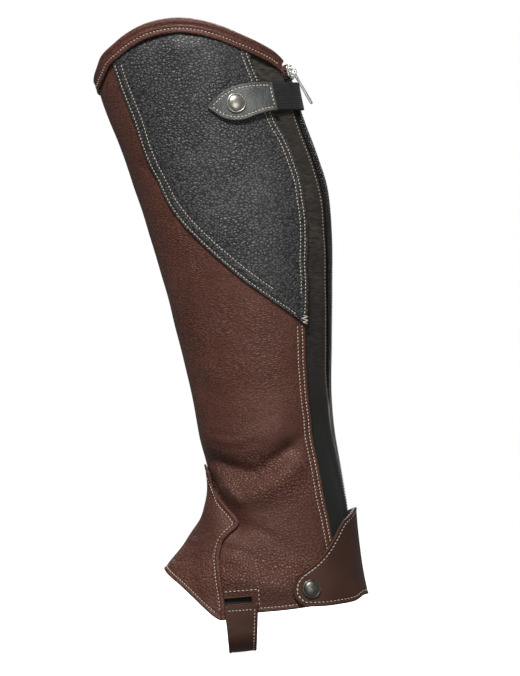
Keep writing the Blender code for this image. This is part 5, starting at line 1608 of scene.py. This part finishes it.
def studio():
    stage()
    world = bpy.context.scene.world or bpy.data.worlds.new("studio")
    bpy.context.scene.world = world
    world.use_nodes = True
    background = world.node_tree.nodes["Background"]
    background.inputs["Color"].default_value = (1, 1, 1, 1)
    seen = world.node_tree.nodes.new("ShaderNodeLightPath")
    strength = world.node_tree.nodes.new("ShaderNodeMapRange")
    strength.inputs["To Min"].default_value = 0.22
    strength.inputs["To Max"].default_value = 1.0
    world.node_tree.links.new(seen.outputs["Is Camera Ray"], strength.inputs["Value"])
    world.node_tree.links.new(strength.outputs["Result"], background.inputs["Strength"])
    light("key", (-0.30, -1.60, 1.55), (0.0, 0.0, -0.10), (0.50, 0.40), 62)
    light("fill", (0.5, -2.1, -0.1), (0.0, 0.0, -0.12), (0.6, 0.6), 6)
    light("back", (0.2, 1.7, 1.5), (0.0, 0.0, -0.1), (1.2, 0.8), 48)
    bpy.context.scene.view_settings.view_transform = "Standard"


def camera():
    """A long lens at the outer side, level with the middle of the part."""
    distance, view_height = 9.0, 0.507
    nearer = 0.03
    lens = bpy.data.cameras.new("camera")
    lens.sensor_fit = "VERTICAL"
    lens.sensor_height = 36.0
    lens.lens = lens.sensor_height * (distance - nearer) / view_height
    lens.clip_end = 60.0
    thing = bpy.data.objects.new("camera", lens)
    bpy.context.scene.collection.objects.link(thing)
    thing.location = (0.02325, -distance, -0.1185)
    thing.rotation_euler = (np.pi / 2, 0, 0)
    bpy.context.scene.camera = thing


def straight_runs(corners, step=1.0):
    """Points at even steps along straight lines between corners."""
    corners = np.array(corners, float)
    runs = []
    for start, end in zip(corners, corners[1:]):
        count = max(int(np.linalg.norm(end - start) / step), 2)
        runs.append(start + np.multiply.outer(np.arange(count) / count, end - start))
    return np.concatenate([*runs, corners[-1:]])


def seen_line(corners, side, out):
    """A line of sewing from corners (x, z) seen from the outer side, on the outer side or the inner side."""
    places = on_leg(straight_runs(corners))
    return on_face(places if side > 0 else mirrored(places), out)


def window_box(side):
    return seen_line(WINDOW_BOX, side, 0.05)


def foot_strap_tops():
    return [seen_line(FOOT_STRAP_TOP, side, LAP_GAP + STRAP_LEATHER) for side in (1, -1)]


def bartack(side):
    return seen_line(BARTACK, side, LAP_GAP + PANEL_LEATHER + 0.1)


def main():
    main_leather, leg_grids = leg_panel()
    calf_leather, (calf_grid,) = calf_panel()
    gusset, (gusset_grid,) = stretch_gusset()
    zip_tapes()
    zip_coil()
    zip_slider()
    zip_pull_tab()
    cuff, cuff_outer, cuff_inner = top_cuff()
    band, (band_grid,) = strap_elastic()
    tab, (tab_grid,) = strap_tab()
    instep, (instep_grid,) = instep_panel()
    heel, (heel_grid,) = heel_strap()
    foot_elastics()
    strap, (strap_grid,) = foot_strap()
    window_piping()
    snap("top", TAB_SNAP, TAB_REST_AT_SNAP, STRAP_LEATHER, leg, "antique_nickel")
    # The heel snap takes the darker copy of the snap metal: painted shade
    snap("heel", HEEL_SNAP, HEEL_REST_AT_SNAP, HEEL_LEATHER, skin, "shaded_antique_nickel", HEEL_SNAP_RADIUS)

    outer_low, outer_high, inner_low, inner_high = leg_grids
    join = [np.concatenate([inset(outer_low, "left", row), inset(outer_high, "left", row)]) for row in LEG_BACK_ROWS]
    below_calf = [line[line[:, 2] < -107] for line in join]
    sew("sewing_back_seam", below_calf)
    sew("sewing_hem", [inset(outer_low, "bottom", HEM_ROW, (14, 12)), inset(inner_low, "bottom", HEM_ROW, (12, 4))])
    zip_row = np.concatenate([inset(inner_low, "right", GUSSET_ROW), inset(inner_high, "right", GUSSET_ROW)])
    sew("sewing_zip_inner", [zip_row[:-16]], "tan_thread")
    sew("sewing_zip_outer", [inset(gusset_grid, "left", GUSSET_ROW, (0, 5))], "tan_thread", length=1.3)
    calf_rows = [inset(calf_grid, "right", row, (3, 4)) for row in CALF_FRONT_ROWS]
    calf_rows += [inset(calf_grid, "left", row, (3, 4)) for row in CALF_BACK_ROWS]
    sew("sewing_calf", calf_rows)
    sew("sewing_cuff", [cuff_outer, cuff_inner], pitch=2.8, length=1.4)
    sew("sewing_instep", [inset(instep_grid, side, INSTEP_ROW, (9, 6)) for side in ("left", "right")])
    sew("sewing_instep_hem", [inset(instep_grid, "bottom", HEM_ROW, (9, 9))])
    sew("sewing_heel", heel_rows(heel_grid), pitch=3.2, length=1.9)
    sew("sewing_tab", tab_rows(), pitch=2.8, length=1.6, radius=0.42)
    sew("sewing_foot_strap", [inset(strap_grid, "right", FOOT_STRAP_ROW, (5, 5)), *foot_strap_tops()])
    sew("sewing_windows", [window_box(1), window_box(-1)], pitch=3.2, length=1.9)
    sew("bartack", [bartack(1)], pitch=1.15, length=3.4, radius=0.30)

    for stud in ("snap_stud_top", "snap_stud_heel"):
        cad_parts[stud].material_slots[0].material = FINISHES["antique_nickel"]
    studio()
    camera()


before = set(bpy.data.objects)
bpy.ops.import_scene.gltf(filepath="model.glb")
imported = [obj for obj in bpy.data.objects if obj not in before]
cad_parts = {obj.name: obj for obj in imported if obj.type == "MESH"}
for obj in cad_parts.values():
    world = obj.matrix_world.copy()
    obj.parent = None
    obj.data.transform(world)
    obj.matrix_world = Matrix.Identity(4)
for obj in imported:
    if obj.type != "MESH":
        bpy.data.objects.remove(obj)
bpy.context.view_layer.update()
main()
